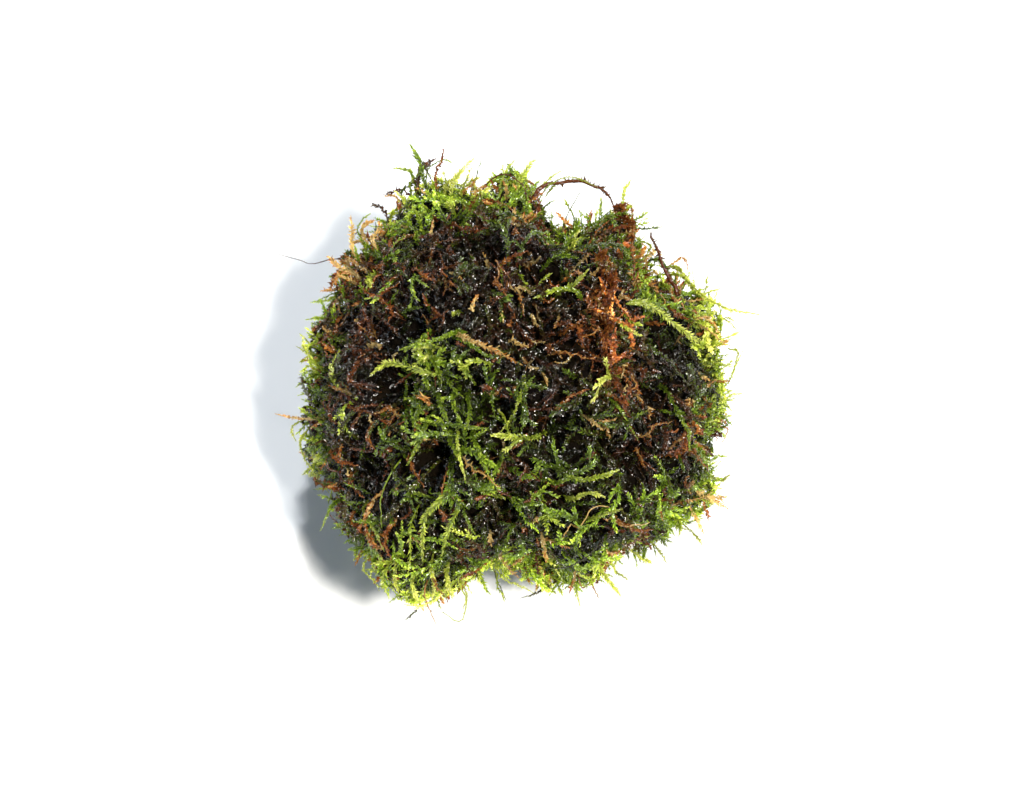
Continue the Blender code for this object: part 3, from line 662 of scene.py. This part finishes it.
old_moss = moss_finish("old_moss", 0.05, 0.8, 0.14)
wet_moss = moss_finish("wet_moss", 0.15, 1.0, 0.13)
chance = np.random.default_rng(11)
low_shoots = tuft_shoots(chance)
high_shoots = crest_shoots(chance)
add_shoots("under_shoots", under_shoots(chance), "under", old_moss, chance)
add_shoots("surface_shoots", low_shoots, "surface", wet_moss, chance)
add_shoots("side_shoots", side_shoots(low_shoots, chance), "surface", wet_moss, chance)
add_shoots("crest_shoots", high_shoots, "crest", wet_moss, chance)
add_shoots("crest_sides", side_shoots(high_shoots, chance), "surface", wet_moss, chance)
add_shoots("bare_scraps", rust_scraps(chance), "twig", wet_moss, chance)
add_shoots("leafy_scraps", rust_scraps(chance), "rust", wet_moss, chance)

# The fringe
# Fresh tips that stand away from the ball on every side. They are pale, thin enough to glow where light
# comes through them, and each is a short leafy shoot rooted among the others. Round the rim they are
# painted paler and brighter, as painted light from behind.

FRINGE_COUNT = 4200
FRINGE_BAND = 0.38


def fringe_tips(chance):
    """Short tips: from below the surface outwards, leaning aside, and bent a little.

    They stand closest together round the ball's rim, as the photograph sees it, and thinner elsewhere.
    """
    steps = 4
    roots = unit(chance.normal(size=(FRINGE_COUNT, 3)))
    rim = np.exp(-(roots @ VIEW_BACK / FRINGE_BAND) ** 2)
    roots = roots[(roots[:, 2] > -0.72) & (chance.random(FRINGE_COUNT) < 0.22 + 0.78 * rim)]
    rim = np.exp(-(roots @ VIEW_BACK / FRINGE_BAND) ** 2)
    count = len(roots)
    level = unit(np.cross(roots, chance.normal(size=(count, 3))))
    lean = chance.uniform(0.4, 1.25, count)[:, None]
    ahead = roots * np.cos(lean) + level * np.sin(lean)
    share = np.linspace(0, 1, steps)[None, :, None]
    reach = chance.uniform(3.0 * MM, 6.2 * MM, count)[:, None, None]
    bend = 0.5 * chance.normal(size=(count, 1, 1)) * np.cross(ahead, roots)[:, None]
    start = BALL_CENTRE + roots * (ball_radius(roots) - 1.6 * MM)[:, None]
    points = start[:, None] + reach * (share * ahead[:, None] + share ** 2 * bend)
    # Round the rim more of the tips take a young pale colour: painted light, as if lit from behind.
    fresh = 0.15 + 0.50 * rim
    ages = (1 - fresh) * age_of(roots, chance) + fresh * chance.uniform(-0.05, 0.20, count)
    odd = chance.random(count)
    ages = np.where(odd < 0.12, chance.uniform(0.8, 1.0, count), ages)
    # Painted light brightens the tips round the rim, and painted shade darkens them in the hollows.
    shades = (0.9 + 0.5 * rim) * chance.uniform(0.8, 1.3, count) * (1 - 0.8 * pit_share(roots))
    outward = np.repeat(roots[:, None], steps, axis=1)
    return points, outward, twisting_rolls(count, steps, chance), chance.uniform(0.8, 1.2, count), ages, shades


fresh_moss = moss_finish("fresh_moss", 0.5, 1.0, 0.13)
add_shoots("fringe_tips", fringe_tips(chance), "fringe", fresh_moss, chance)

# The single fronds
# Shoots that can be told apart by eye: leafy ropes, thinner combs, bare stems and rusty dead twigs. Each
# roots in the moss and follows its own route over the ball or out of it.

# Form, age, and the route as column, row and lift in mm, root first. Each stands for the CAD's shoot.
FRONDS = {
    "top_tuft_stem": ("bark", 0.60, [(416, 186, 0.8), (421, 174, 2.0), (430, 163, 3.0)]),
    "top_tuft_leaf_left": ("rope", 0.26, [(414, 181, 0.9), (408, 170, 2.2), (394, 168, 3.4)]),
    "top_tuft_leaf_high": ("rope", 0.34, [(424, 182, 0.9), (419, 158, 3.0), (410, 144, 4.6)]),
    "top_tuft_leaf_right": ("rust", 0.80, [(434, 180, 0.9), (440, 163, 2.6), (444, 149, 4.0)]),
    "yellow_shoot_top": ("comb", 0.03, [(452, 188, 0.8), (461, 172, 2.2), (473, 158, 4.0)]),
    "green_shoot_top": ("comb", 0.12, [(516, 184, 0.8), (526, 171, 2.4), (536, 160, 4.0)]),
    "thin_shoot_top": ("slim", 0.15, [(500, 186, 0.8), (506, 171, 2.4), (516, 159, 3.8)]),
    "curled_stem_top": ("stem", 0.68, [(484, 188, 0.8), (502, 174, 2.6), (520, 184, 3.0), (527, 201, 1.0)]),
    "arched_stem": ("bark", 0.70, [(536, 193, 0.8), (552, 183, 3.6), (581, 182, 5.2), (603, 190, 4.2),
                                   (614, 206, 0.8)]),
    "arch_strut": ("stem", 0.40, [(563, 226, 0.8), (570, 210, 2.4), (580, 192, 3.6)]),
    "shoulder_shoot": ("rope", 0.12, [(622, 206, 0.8), (625, 193, 2.6), (630, 180, 4.4)]),
    "shoulder_stem": ("twig", 0.84, [(632, 224, 1.0), (633, 250, 1.6), (633, 281, 0.9)]),
    "right_stem": ("bark", 0.70, [(679, 298, 0.8), (669, 276, 1.8), (657, 251, 3.4), (650, 234, 4.4)]),
    "long_shoot_right": ("rope", 0.06, [(680, 275, 1.0), (700, 295, 1.8), (726, 308, 3.6), (760, 314, 7.5)]),
    "side_shoot_right": ("slim", 0.04, [(722, 338, 0.8), (733, 336, 2.0), (740, 331, 3.2)]),
    "thin_stem_right": ("slim", 0.15, [(728, 384, 0.8), (734, 368, 1.8), (743, 350, 3.6)]),
    "low_shoot_right": ("slim", 0.05, [(724, 399, 0.8), (733, 395, 1.8), (743, 393, 3.4)]),
    "bright_shoot": ("comb", 0.10, [(643, 304, 1.0), (666, 318, 1.3), (690, 335, 1.3), (711, 346, 1.0)]),
    "dark_shoot": ("rope", 0.22, [(577, 293, 1.0), (556, 290, 1.3), (533, 298, 1.0)]),
    "rust_frond_high": ("clump", 0.79, [(605, 259, 1.0), (609, 285, 1.6), (604, 312, 1.3)]),
    "rust_frond_low": ("clump", 0.77, [(606, 326, 1.2), (606, 352, 1.4), (612, 376, 1.2), (622, 391, 0.9)]),
    "rust_branch": ("twig", 0.84, [(599, 330, 2.0), (589, 336, 2.4), (577, 342, 2.0)]),
    "straw_shoot_left": ("comb", 1.00, [(356, 256, 1.0), (352, 236, 2.4), (350, 217, 3.8)]),
    "straw_curl_left": ("comb", 0.98, [(346, 270, 1.0), (336, 264, 2.4), (327, 257, 3.4)]),
    "straw_branch_left": ("comb", 0.96, [(350, 280, 0.9), (338, 278, 2.0), (327, 290, 2.4)]),
    "thin_shoot_left": ("slim", 0.25, [(358, 230, 1.0), (362, 219, 2.2), (371, 214, 3.4)]),
    "loose_fibre": ("fibre", 0.64, [(336, 258, 0.9), (312, 264, 3.0), (299, 261, 4.6), (273, 252, 8.0)]),
    "edge_shoot_left": ("rope", 0.12, [(316, 366, 0.8), (305, 352, 1.4), (304, 337, 2.2)]),
    "straw_stem_left": ("slim", 0.96, [(312, 419, 0.8), (294, 418, 3.2), (276, 414, 6.4)]),
    "edge_stem_left": ("slim", 0.05, [(300, 440, 0.8), (307, 463, 1.2), (329, 492, 1.0)]),
    "low_tip_left": ("slim", 0.25, [(333, 506, 0.9), (327, 518, 2.2), (319, 530, 3.4)]),
    "front_comb": ("comb", 0.12, [(420, 371, 1.2), (399, 365, 1.6), (384, 365, 1.6), (371, 375, 1.4)]),
    "front_shoot": ("rope", 0.26, [(452, 334, 1.0), (424, 344, 1.4), (400, 351, 1.2)]),
    "broad_straw": ("comb", 0.95, [(464, 338, 1.0), (490, 350, 1.3), (521, 367, 1.0)]),
    "hanging_shoot_1": ("comb", 0.15, [(438, 502, 1.0), (424, 522, 1.5), (422, 560, 1.4)]),
    "hanging_shoot_2": ("comb", 0.17, [(455, 515, 1.0), (447, 534, 1.5), (440, 560, 1.4)]),
    "hanging_shoot_3": ("comb", 0.16, [(412, 522, 1.0), (409, 548, 1.5), (408, 574, 1.6)]),
    "hanging_shoot_4": ("comb", 0.12, [(387, 568, 0.9), (383, 583, 2.2), (388, 598, 3.0)]),
    "mid_shoot": ("slim", 0.10, [(456, 438, 1.2), (460, 458, 1.5), (464, 480, 1.2)]),
    "bottom_shoot": ("rope", 0.06, [(412, 582, 0.8), (414, 592, 1.6), (418, 601, 2.6)]),
    "bottom_loop": ("stem", 0.04, [(458, 584, 0.8), (468, 600, 2.4), (460, 622, 4.4), (441, 612, 3.4)]),
    "rust_tail": ("stem", 0.84, [(424, 594, 0.9), (427, 606, 2.2), (436, 623, 4.0)]),
    "low_shoot_1": ("slim", 0.06, [(502, 577, 0.8), (518, 585, 1.8), (534, 594, 2.6)]),
    "low_shoot_2": ("slim", 0.55, [(556, 581, 0.8), (540, 592, 2.2), (519, 598, 3.2)]),
    "low_shoot_3": ("slim", 0.06, [(570, 583, 0.8), (576, 594, 2.2), (581, 606, 3.4)]),
    "low_shoot_4": ("rope", 0.08, [(600, 567, 0.9), (608, 582, 2.2), (620, 596, 3.6)]),
    "low_shoot_5": ("rope", 0.04, [(634, 552, 0.8), (643, 560, 1.8), (652, 563, 2.8)]),
    "straw_fan_right": ("comb", 1.00, [(700, 492, 0.9), (713, 500, 2.4), (728, 509, 4.4)]),
}
# More such shoots that lie close on the ball, in the same form without the lift
LYING_FRONDS = [
    ("slim", 0.30, [(428, 168), (444, 160), (452, 163)]), ("slim", 0.45, [(424, 165), (418, 158), (412, 155)]),
    ("twig", 0.72, [(405, 192), (395, 190), (383, 195)]), ("twig", 0.66, [(384, 212), (378, 206), (371, 207)]),
    ("twig", 0.82, [(421, 274), (425, 277), (429, 281)]), ("twig", 0.82, [(495, 282), (500, 290), (505, 297)]),
    ("slim", 0.12, [(533, 193), (548, 180), (565, 170)]), ("slim", 0.35, [(543, 224), (543, 214), (540, 204)]),
    ("slim", 0.20, [(574, 216), (568, 206), (563, 199)]), ("twig", 0.85, [(630, 206), (632, 222), (633, 240)]),
    ("slim", 0.10, [(650, 246), (642, 240), (634, 237)]), ("slim", 0.08, [(703, 294), (712, 292), (720, 288)]),
    ("clump", 0.82, [(603, 262), (607, 274), (604, 290)]), ("rust", 0.84, [(612, 300), (604, 316), (607, 337)]),
    ("rust", 0.87, [(596, 300), (603, 308), (610, 318)]), ("rust", 0.90, [(598, 268), (606, 262), (612, 272)]),
    ("twig", 0.85, [(588, 309), (595, 314), (602, 320)]), ("rope", 0.12, [(618, 322), (628, 330), (641, 336)]),
    ("rope", 0.20, [(622, 312), (632, 322), (640, 326)]), ("slim", 0.02, [(716, 314), (728, 322), (738, 331)]),
    ("slim", 0.05, [(738, 352), (735, 366), (732, 378)]), ("slim", 0.05, [(294, 424), (292, 432), (296, 441)]),
    ("rust", 0.90, [(401, 418), (390, 410), (373, 414)]), ("rust", 0.93, [(414, 394), (422, 399), (430, 405)]),
    ("slim", 0.30, [(404, 405), (406, 392), (406, 380)]), ("rope", 0.25, [(424, 428), (417, 446), (408, 466)]),
    ("stem", 0.18, [(390, 474), (381, 498), (382, 528)]), ("rust", 0.82, [(408, 458), (415, 472), (424, 488)]),
    ("rust", 0.82, [(349, 478), (354, 488), (362, 499)]), ("rust", 0.83, [(372, 533), (384, 534), (391, 528)]),
    ("rust", 0.84, [(388, 530), (384, 545), (389, 558)]), ("slim", 0.10, [(364, 568), (371, 579), (379, 591)]),
    ("slim", 0.50, [(420, 604), (413, 614), (405, 620)]), ("twig", 0.92, [(465, 464), (480, 474), (497, 487)]),
    ("slim", 0.15, [(498, 588), (501, 595), (505, 602)]), ("stem", 0.84, [(577, 576), (583, 588), (597, 577)]),
    ("stem", 0.85, [(592, 585), (596, 592), (599, 598)]), ("slim", 0.10, [(618, 554), (615, 564), (616, 574)]),
    ("slim", 0.10, [(616, 570), (621, 576), (627, 580)]), ("comb", 1.00, [(703, 496), (716, 498), (726, 497)]),
    ("stem", 0.50, [(535, 562), (557, 568), (579, 563), (596, 549), (611, 535)]),
    ("stem", 0.93, [(579, 527), (590, 511), (609, 507)]), ("stem", 0.92, [(560, 541), (565, 533), (571, 526)]),
    ("stem", 0.94, [(625, 528), (636, 525), (649, 523)]), ("rope", 0.18, [(581, 481), (603, 476), (619, 471)]),
    ("slim", 0.25, [(612, 401), (622, 413), (637, 440)]), ("slim", 0.30, [(629, 420), (638, 416), (647, 412)]),
    ("twig", 0.86, [(632, 377), (635, 387), (638, 397)]), ("slim", 0.98, [(636, 396), (639, 399), (642, 403)]),
    ("twig", 0.90, [(604, 428), (607, 433), (610, 438)]), ("twig", 0.86, [(647, 437), (653, 426), (673, 424)]),
    ("twig", 0.85, [(639, 454), (641, 461), (643, 469)]), ("twig", 0.84, [(693, 453), (700, 460), (708, 469)]),
    ("twig", 0.85, [(717, 417), (723, 422), (727, 427)]), ("stem", 0.84, [(726, 428), (727, 434), (722, 443)]),
    ("rope", 0.30, [(664, 390), (676, 409), (688, 430), (689, 451)]),
    ("slim", 0.12, [(523, 380), (520, 400), (511, 418), (499, 432)]),
    ("rope", 0.30, [(420, 370), (425, 380), (429, 390)]), ("rope", 0.30, [(437, 398), (442, 410), (447, 422)]),
    ("rope", 0.30, [(468, 398), (469, 412), (467, 427)]), ("rope", 0.25, [(449, 440), (454, 450), (460, 461)]),
    ("rope", 0.28, [(472, 436), (476, 446), (479, 458)]), ("rope", 0.33, [(434, 424), (458, 427), (487, 429)]),
    ("rope", 0.30, [(452, 352), (464, 368), (474, 386)]), ("rope", 0.33, [(455, 338), (470, 344), (486, 356)]),
    ("stem", 0.25, [(430, 494), (445, 495), (460, 497)]), ("slim", 0.30, [(463, 514), (469, 524), (475, 535)]),
    ("rope", 0.22, [(481, 490), (493, 495), (505, 500)]), ("stem", 0.40, [(494, 571), (500, 586), (506, 600)]),
    ("stem", 0.30, [(429, 581), (431, 592), (434, 603)]), ("twig", 0.84, [(559, 354), (578, 357), (598, 358)]),
    ("rope", 0.40, [(344, 258), (352, 252), (360, 262)]), ("slim", 0.08, [(312, 345), (304, 339), (300, 333)]),
    ("slim", 0.06, [(312, 354), (303, 350), (296, 346)]), ("slim", 0.10, [(313, 362), (306, 360), (299, 362)]),
    ("twig", 0.66, [(312, 384), (304, 381), (299, 377)]), ("slim", 0.36, [(383, 310), (391, 301), (398, 291)]),
    ("slim", 0.33, [(403, 312), (412, 310), (421, 307)]), ("twig", 0.82, [(359, 282), (376, 297), (398, 284)]),
    ("rust", 0.80, [(372, 246), (366, 236), (356, 232)]), ("rust", 0.92, [(364, 270), (352, 262), (343, 252)]),
    ("slim", 0.10, [(548, 186), (570, 177), (596, 186)]), ("slim", 0.14, [(556, 184), (578, 179), (600, 192)]),
    ("clump", 0.80, [(628, 226), (622, 212), (614, 204)]), ("rust", 0.78, [(631, 228), (622, 226), (612, 232)]),
    ("twig", 0.92, [(634, 250), (646, 262), (655, 282)]), ("twig", 0.95, [(640, 282), (652, 286), (664, 300)]),
    ("stem", 0.96, [(640, 244), (652, 252), (662, 268)]), ("slim", 0.88, [(676, 262), (684, 258), (688, 272)]),
    ("rope", 0.10, [(678, 268), (690, 285), (704, 306)]), ("rope", 0.30, [(662, 262), (674, 286), (688, 312)]),
    ("twig", 0.90, [(668, 282), (674, 296), (684, 308)]), ("rust", 0.80, [(664, 306), (676, 314), (690, 320)]),
    ("slim", 0.10, [(716, 322), (726, 318), (734, 320)]), ("twig", 0.94, [(706, 318), (714, 324), (720, 336)]),
    ("rope", 0.16, [(560, 292), (574, 284), (588, 270)]), ("rope", 0.34, [(548, 262), (562, 256), (578, 258)]),
    ("rust", 0.76, [(452, 226), (470, 232), (488, 228)]), ("rust", 0.74, [(520, 214), (536, 222), (552, 232)]),
    ("rust", 0.80, [(470, 206), (486, 200), (500, 204)]), ("rust", 0.78, [(380, 300), (392, 310), (388, 322)]),
    ("rust", 0.80, [(610, 396), (622, 404), (630, 420)]), ("rust", 0.84, [(560, 408), (572, 396), (588, 390)]),
    ("rust", 0.82, [(330, 452), (342, 462), (356, 466)]), ("rust", 0.80, [(316, 480), (330, 488), (346, 490)]),
    ("rust", 0.82, [(352, 516), (356, 526), (364, 536)]), ("rust", 0.84, [(622, 524), (636, 532), (652, 530)]),
    ("rust", 0.86, [(688, 404), (702, 410), (712, 404)]), ("rust", 0.80, [(568, 330), (584, 322), (596, 326)]),
    ("twig", 1.00, [(513, 342), (520, 345), (528, 349)]), ("slim", 0.35, [(640, 244), (628, 250), (618, 246)]), 
    ("slim", 0.12, [(364, 512), (372, 530), (384, 552)]), ("rust", 0.76, [(418, 172), (426, 164), (436, 158)]),
    ("rope", 0.20, [(410, 184), (418, 176), (424, 168)]), ("rope", 0.40, [(402, 192), (412, 184), (420, 178)]),
    ("slim", 0.94, [(400, 200), (392, 196), (384, 196)]), ("rope", 0.05, [(446, 186), (456, 178), (462, 168)]),
    ("rope", 0.08, [(462, 190), (470, 182), (480, 178)]), ("rust", 0.90, [(474, 196), (482, 188), (492, 186)]),
    ("rope", 0.06, [(396, 560), (394, 578), (398, 592)]), ("rope", 0.05, [(430, 570), (434, 586), (432, 600)]),
    ("rope", 0.08, [(446, 572), (448, 586), (452, 598)]), ("slim", 0.02, [(462, 580), (466, 596), (464, 610)]),
    ("rope", 0.10, [(540, 572), (546, 584), (556, 592)]), ("slim", 0.05, [(692, 532), (698, 538), (702, 545)]),
    ("slim", 0.07, [(656, 548), (663, 555), (666, 563)]), ("rope", 0.05, [(712, 476), (722, 480), (730, 476)]),
    ("rope", 0.10, [(572, 500), (588, 494), (604, 498)]), ("rope", 0.24, [(556, 484), (570, 478), (584, 482)]),
    ("rope", 0.14, [(590, 520), (606, 514), (622, 510)]), ("rope", 0.28, [(430, 352), (436, 366), (440, 384)]),
    ("comb", 0.97, [(366, 250), (360, 240), (352, 244)]), ("rope", 0.98, [(362, 232), (366, 224), (374, 220)]),
    ("comb", 0.95, [(352, 272), (346, 262), (338, 268)]), ("rope", 0.99, [(372, 238), (380, 230), (378, 222)]),
    ("comb", 0.96, [(648, 256), (656, 250), (662, 258)]), ("comb", 0.99, [(654, 272), (662, 280), (672, 278)]),
]
FROND_POINTS = 14
FROND_DROOP = 0.35
FROND_STEEPEST = 1.5
FROND_KINKS = {"twig": 0.20 * MM, "stem": 0.08 * MM, "rust": 0.15 * MM, "clump": 0.45 * MM,
               "bark": 0.15 * MM}
LYING_LIFTS = (0.2, 1.1, 1.5, 1.4, 1.3)
FROND_SHADE = 1.25


def frond_route(spots):
    """A frond's points from its pixels and lifts in mm: on the ball, or drooping on past its edge."""
    route = []
    backs = np.linspace(45 * MM, -45 * MM, 1800)
    for column, row, lift in spots:
        across = (column - VIEW_MIDDLE[0]) * VIEW_PIXEL
        up = (VIEW_MIDDLE[1] - row) * VIEW_PIXEL
        spread = 1 - backs[:, None] / VIEW_DISTANCE
        points = BALL_CENTRE + (across * VIEW_RIGHT + up * VIEW_UP) * spread + backs[:, None] * VIEW_BACK
        reach = np.linalg.norm(points - BALL_CENTRE, axis=1)
        outside = reach - ball_radius(unit(points - BALL_CENTRE)) - lift * MM
        hits = np.flatnonzero(outside <= 0)
        if not route:
            chosen = hits[0] if len(hits) else int(np.argmin(outside))
        else:
            step = math.hypot(across - before[0], up - before[1])
            wanted = depth - FROND_DROOP * step
            clear = (outside >= 0) & (points[:, 2] >= lift * MM / 2)
            if len(hits):
                wanted = max(backs[hits[0]], depth - FROND_STEEPEST * step)
                clear[hits[0] + 1:] = False
            chosen = int(np.argmin(np.where(clear, np.abs(backs - wanted), np.inf)))
        depth, before = backs[chosen], (across, up)
        route.append(points[chosen])
    root = route[0] - unit(route[0] - BALL_CENTRE) * 2.2 * MM - 0.4 * (route[1] - route[0])
    return np.array([root, *route])


def smooth_path(points, count):
    """Points on the smooth curve through the given ones: between two, a cubic led by their neighbours."""
    ends = np.concatenate([[2 * points[0] - points[1]], points, [2 * points[-1] - points[-2]]])
    places = np.linspace(0, len(points) - 1, count)
    step = np.minimum(places.astype(int), len(points) - 2)
    t = (places - step)[:, None]
    a, b, c, d = (ends[step + shift] for shift in range(4))
    return 0.5 * (2 * b + (c - a) * t + (2 * a - 5 * b + 4 * c - d) * t ** 2
                  + (3 * b - a - 3 * c + d) * t ** 3)


def grown_frond(form, age, spots, shade, chance):
    """One frond along its route, with a little wander, as points, faces and values."""
    points = smooth_path(frond_route(spots), FROND_POINTS)
    wander = np.sin(np.linspace(0, 7, FROND_POINTS) + 6 * chance.random())[:, None]
    kinks = FROND_KINKS.get(form, 0.03 * MM) * chance.normal(size=points.shape)
    points = (points + 0.22 * MM * wander * unit(chance.normal(size=3)) + kinks)[None]
    outward = unit(points - BALL_CENTRE)
    rolls = twisting_rolls(1, FROND_POINTS, chance)
    shoot = (points, outward, rolls, np.ones(1), np.array([age]), np.array([shade]))
    return leafy_shoots(shoot, form, chance)


for node, (form, age, spots) in FRONDS.items():
    frond = new_mesh(f"{node}_frond", *grown_frond(form, age, spots, FROND_SHADE, chance))
    frond.data.materials.append(fresh_moss)
    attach(frond, "root")
    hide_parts(node)

lying = [(form, age, [(*spot, lift) for spot, lift in zip(spots, LYING_LIFTS)], chance.uniform(0.75, 1.3))
         for form, age, spots in LYING_FRONDS]
grown = [grown_frond(*frond, chance) for frond in lying]
firsts = np.cumsum([0] + [len(points) for points, _, _ in grown[:-1]])
fronds = new_mesh("lying_fronds", np.concatenate([points for points, _, _ in grown]),
                  np.concatenate([faces + first for (_, faces, _), first in zip(grown, firsts)]),
                  {label: np.concatenate([values[label] for _, _, values in grown])
                   for label in ("age", "shade")})
fronds.data.materials.append(fresh_moss)
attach(fronds, "root")

# The table, the lights and the camera
# A white table that sweeps up far behind, a bright light from the right, a second one that softens its
# shadow, and a broad pale one from the left.

TABLE_REACH = 2.4
TABLE_SWEEP = 0.6
TABLE_SIDES = 96


def table_sweep():
    """A disc whose rim turns up in a quarter of a circle: that profile, turned about the upright axis."""
    angles = np.linspace(0, math.pi / 2, 9)
    reaches = np.concatenate([[0.4, 1.2], TABLE_REACH + TABLE_SWEEP * np.sin(angles)])
    heights = np.concatenate([[0.0, 0.0], TABLE_SWEEP * (1 - np.cos(angles))])
    turns = np.arange(TABLE_SIDES) * 2 * math.pi / TABLE_SIDES
    rings = np.stack([np.outer(reaches, np.cos(turns)), np.outer(reaches, np.sin(turns)),
                      np.outer(heights, np.ones(TABLE_SIDES))], axis=-1)
    points = np.concatenate([np.zeros((1, 3)), rings.reshape(-1, 3)])
    return points, ring_faces(len(reaches), TABLE_SIDES, False)


def table_finish():
    finish = Finish("white_table")
    surface = finish.add("BsdfPrincipled", {}, {"Base Color": (0.90, 0.91, 0.93, 1), "Roughness": 0.6})
    return finish.end(surface)


table = new_mesh("table", *table_sweep())
table.data.materials.append(table_finish())


def add_sun(name, towards, strength, angle, colour):
    """A far light that shines from the given direction."""
    light = bpy.data.lights.new(name, "SUN")
    light.energy = strength
    light.angle = math.radians(angle)
    light.color = colour
    lamp = bpy.data.objects.new(name, light)
    lamp.rotation_euler = Vector(towards).to_track_quat("Z", "Y").to_euler()
    bpy.context.scene.collection.objects.link(lamp)


add_sun("bright_light", (0.39, -0.32, 1.0), 4.9, 7.0, (1.0, 0.96, 0.88))
add_sun("second_light", (0.08, 0.50, 1.0), 2.1, 3.5, (0.95, 0.98, 1.0))
add_sun("fill_light", (-0.80, -0.35, 0.45), 0.70, 50, (0.60, 0.78, 1.0))

world = bpy.data.worlds.new("pale_room")
world.use_nodes = True
world.node_tree.nodes["Background"].inputs["Color"].default_value = (0.78, 0.89, 1.0, 1)
world.node_tree.nodes["Background"].inputs["Strength"].default_value = 0.10
bpy.context.scene.world = world
bpy.context.scene.view_settings.view_transform = "Standard"

camera = bpy.data.objects.new("camera", bpy.data.cameras.new("camera"))
aim = BALL_CENTRE - 6 * VIEW_PIXEL * VIEW_RIGHT - 11.5 * VIEW_PIXEL * VIEW_UP
camera.data.sensor_width = 36
camera.data.lens = 36 * VIEW_DISTANCE / (1024 * VIEW_PIXEL)
camera.data.clip_start = 0.01
turn = Matrix((VIEW_RIGHT, VIEW_UP, VIEW_BACK)).transposed().to_4x4()
camera.matrix_world = Matrix.Translation(aim + VIEW_DISTANCE * VIEW_BACK) @ turn
bpy.context.scene.collection.objects.link(camera)
bpy.context.scene.camera = camera
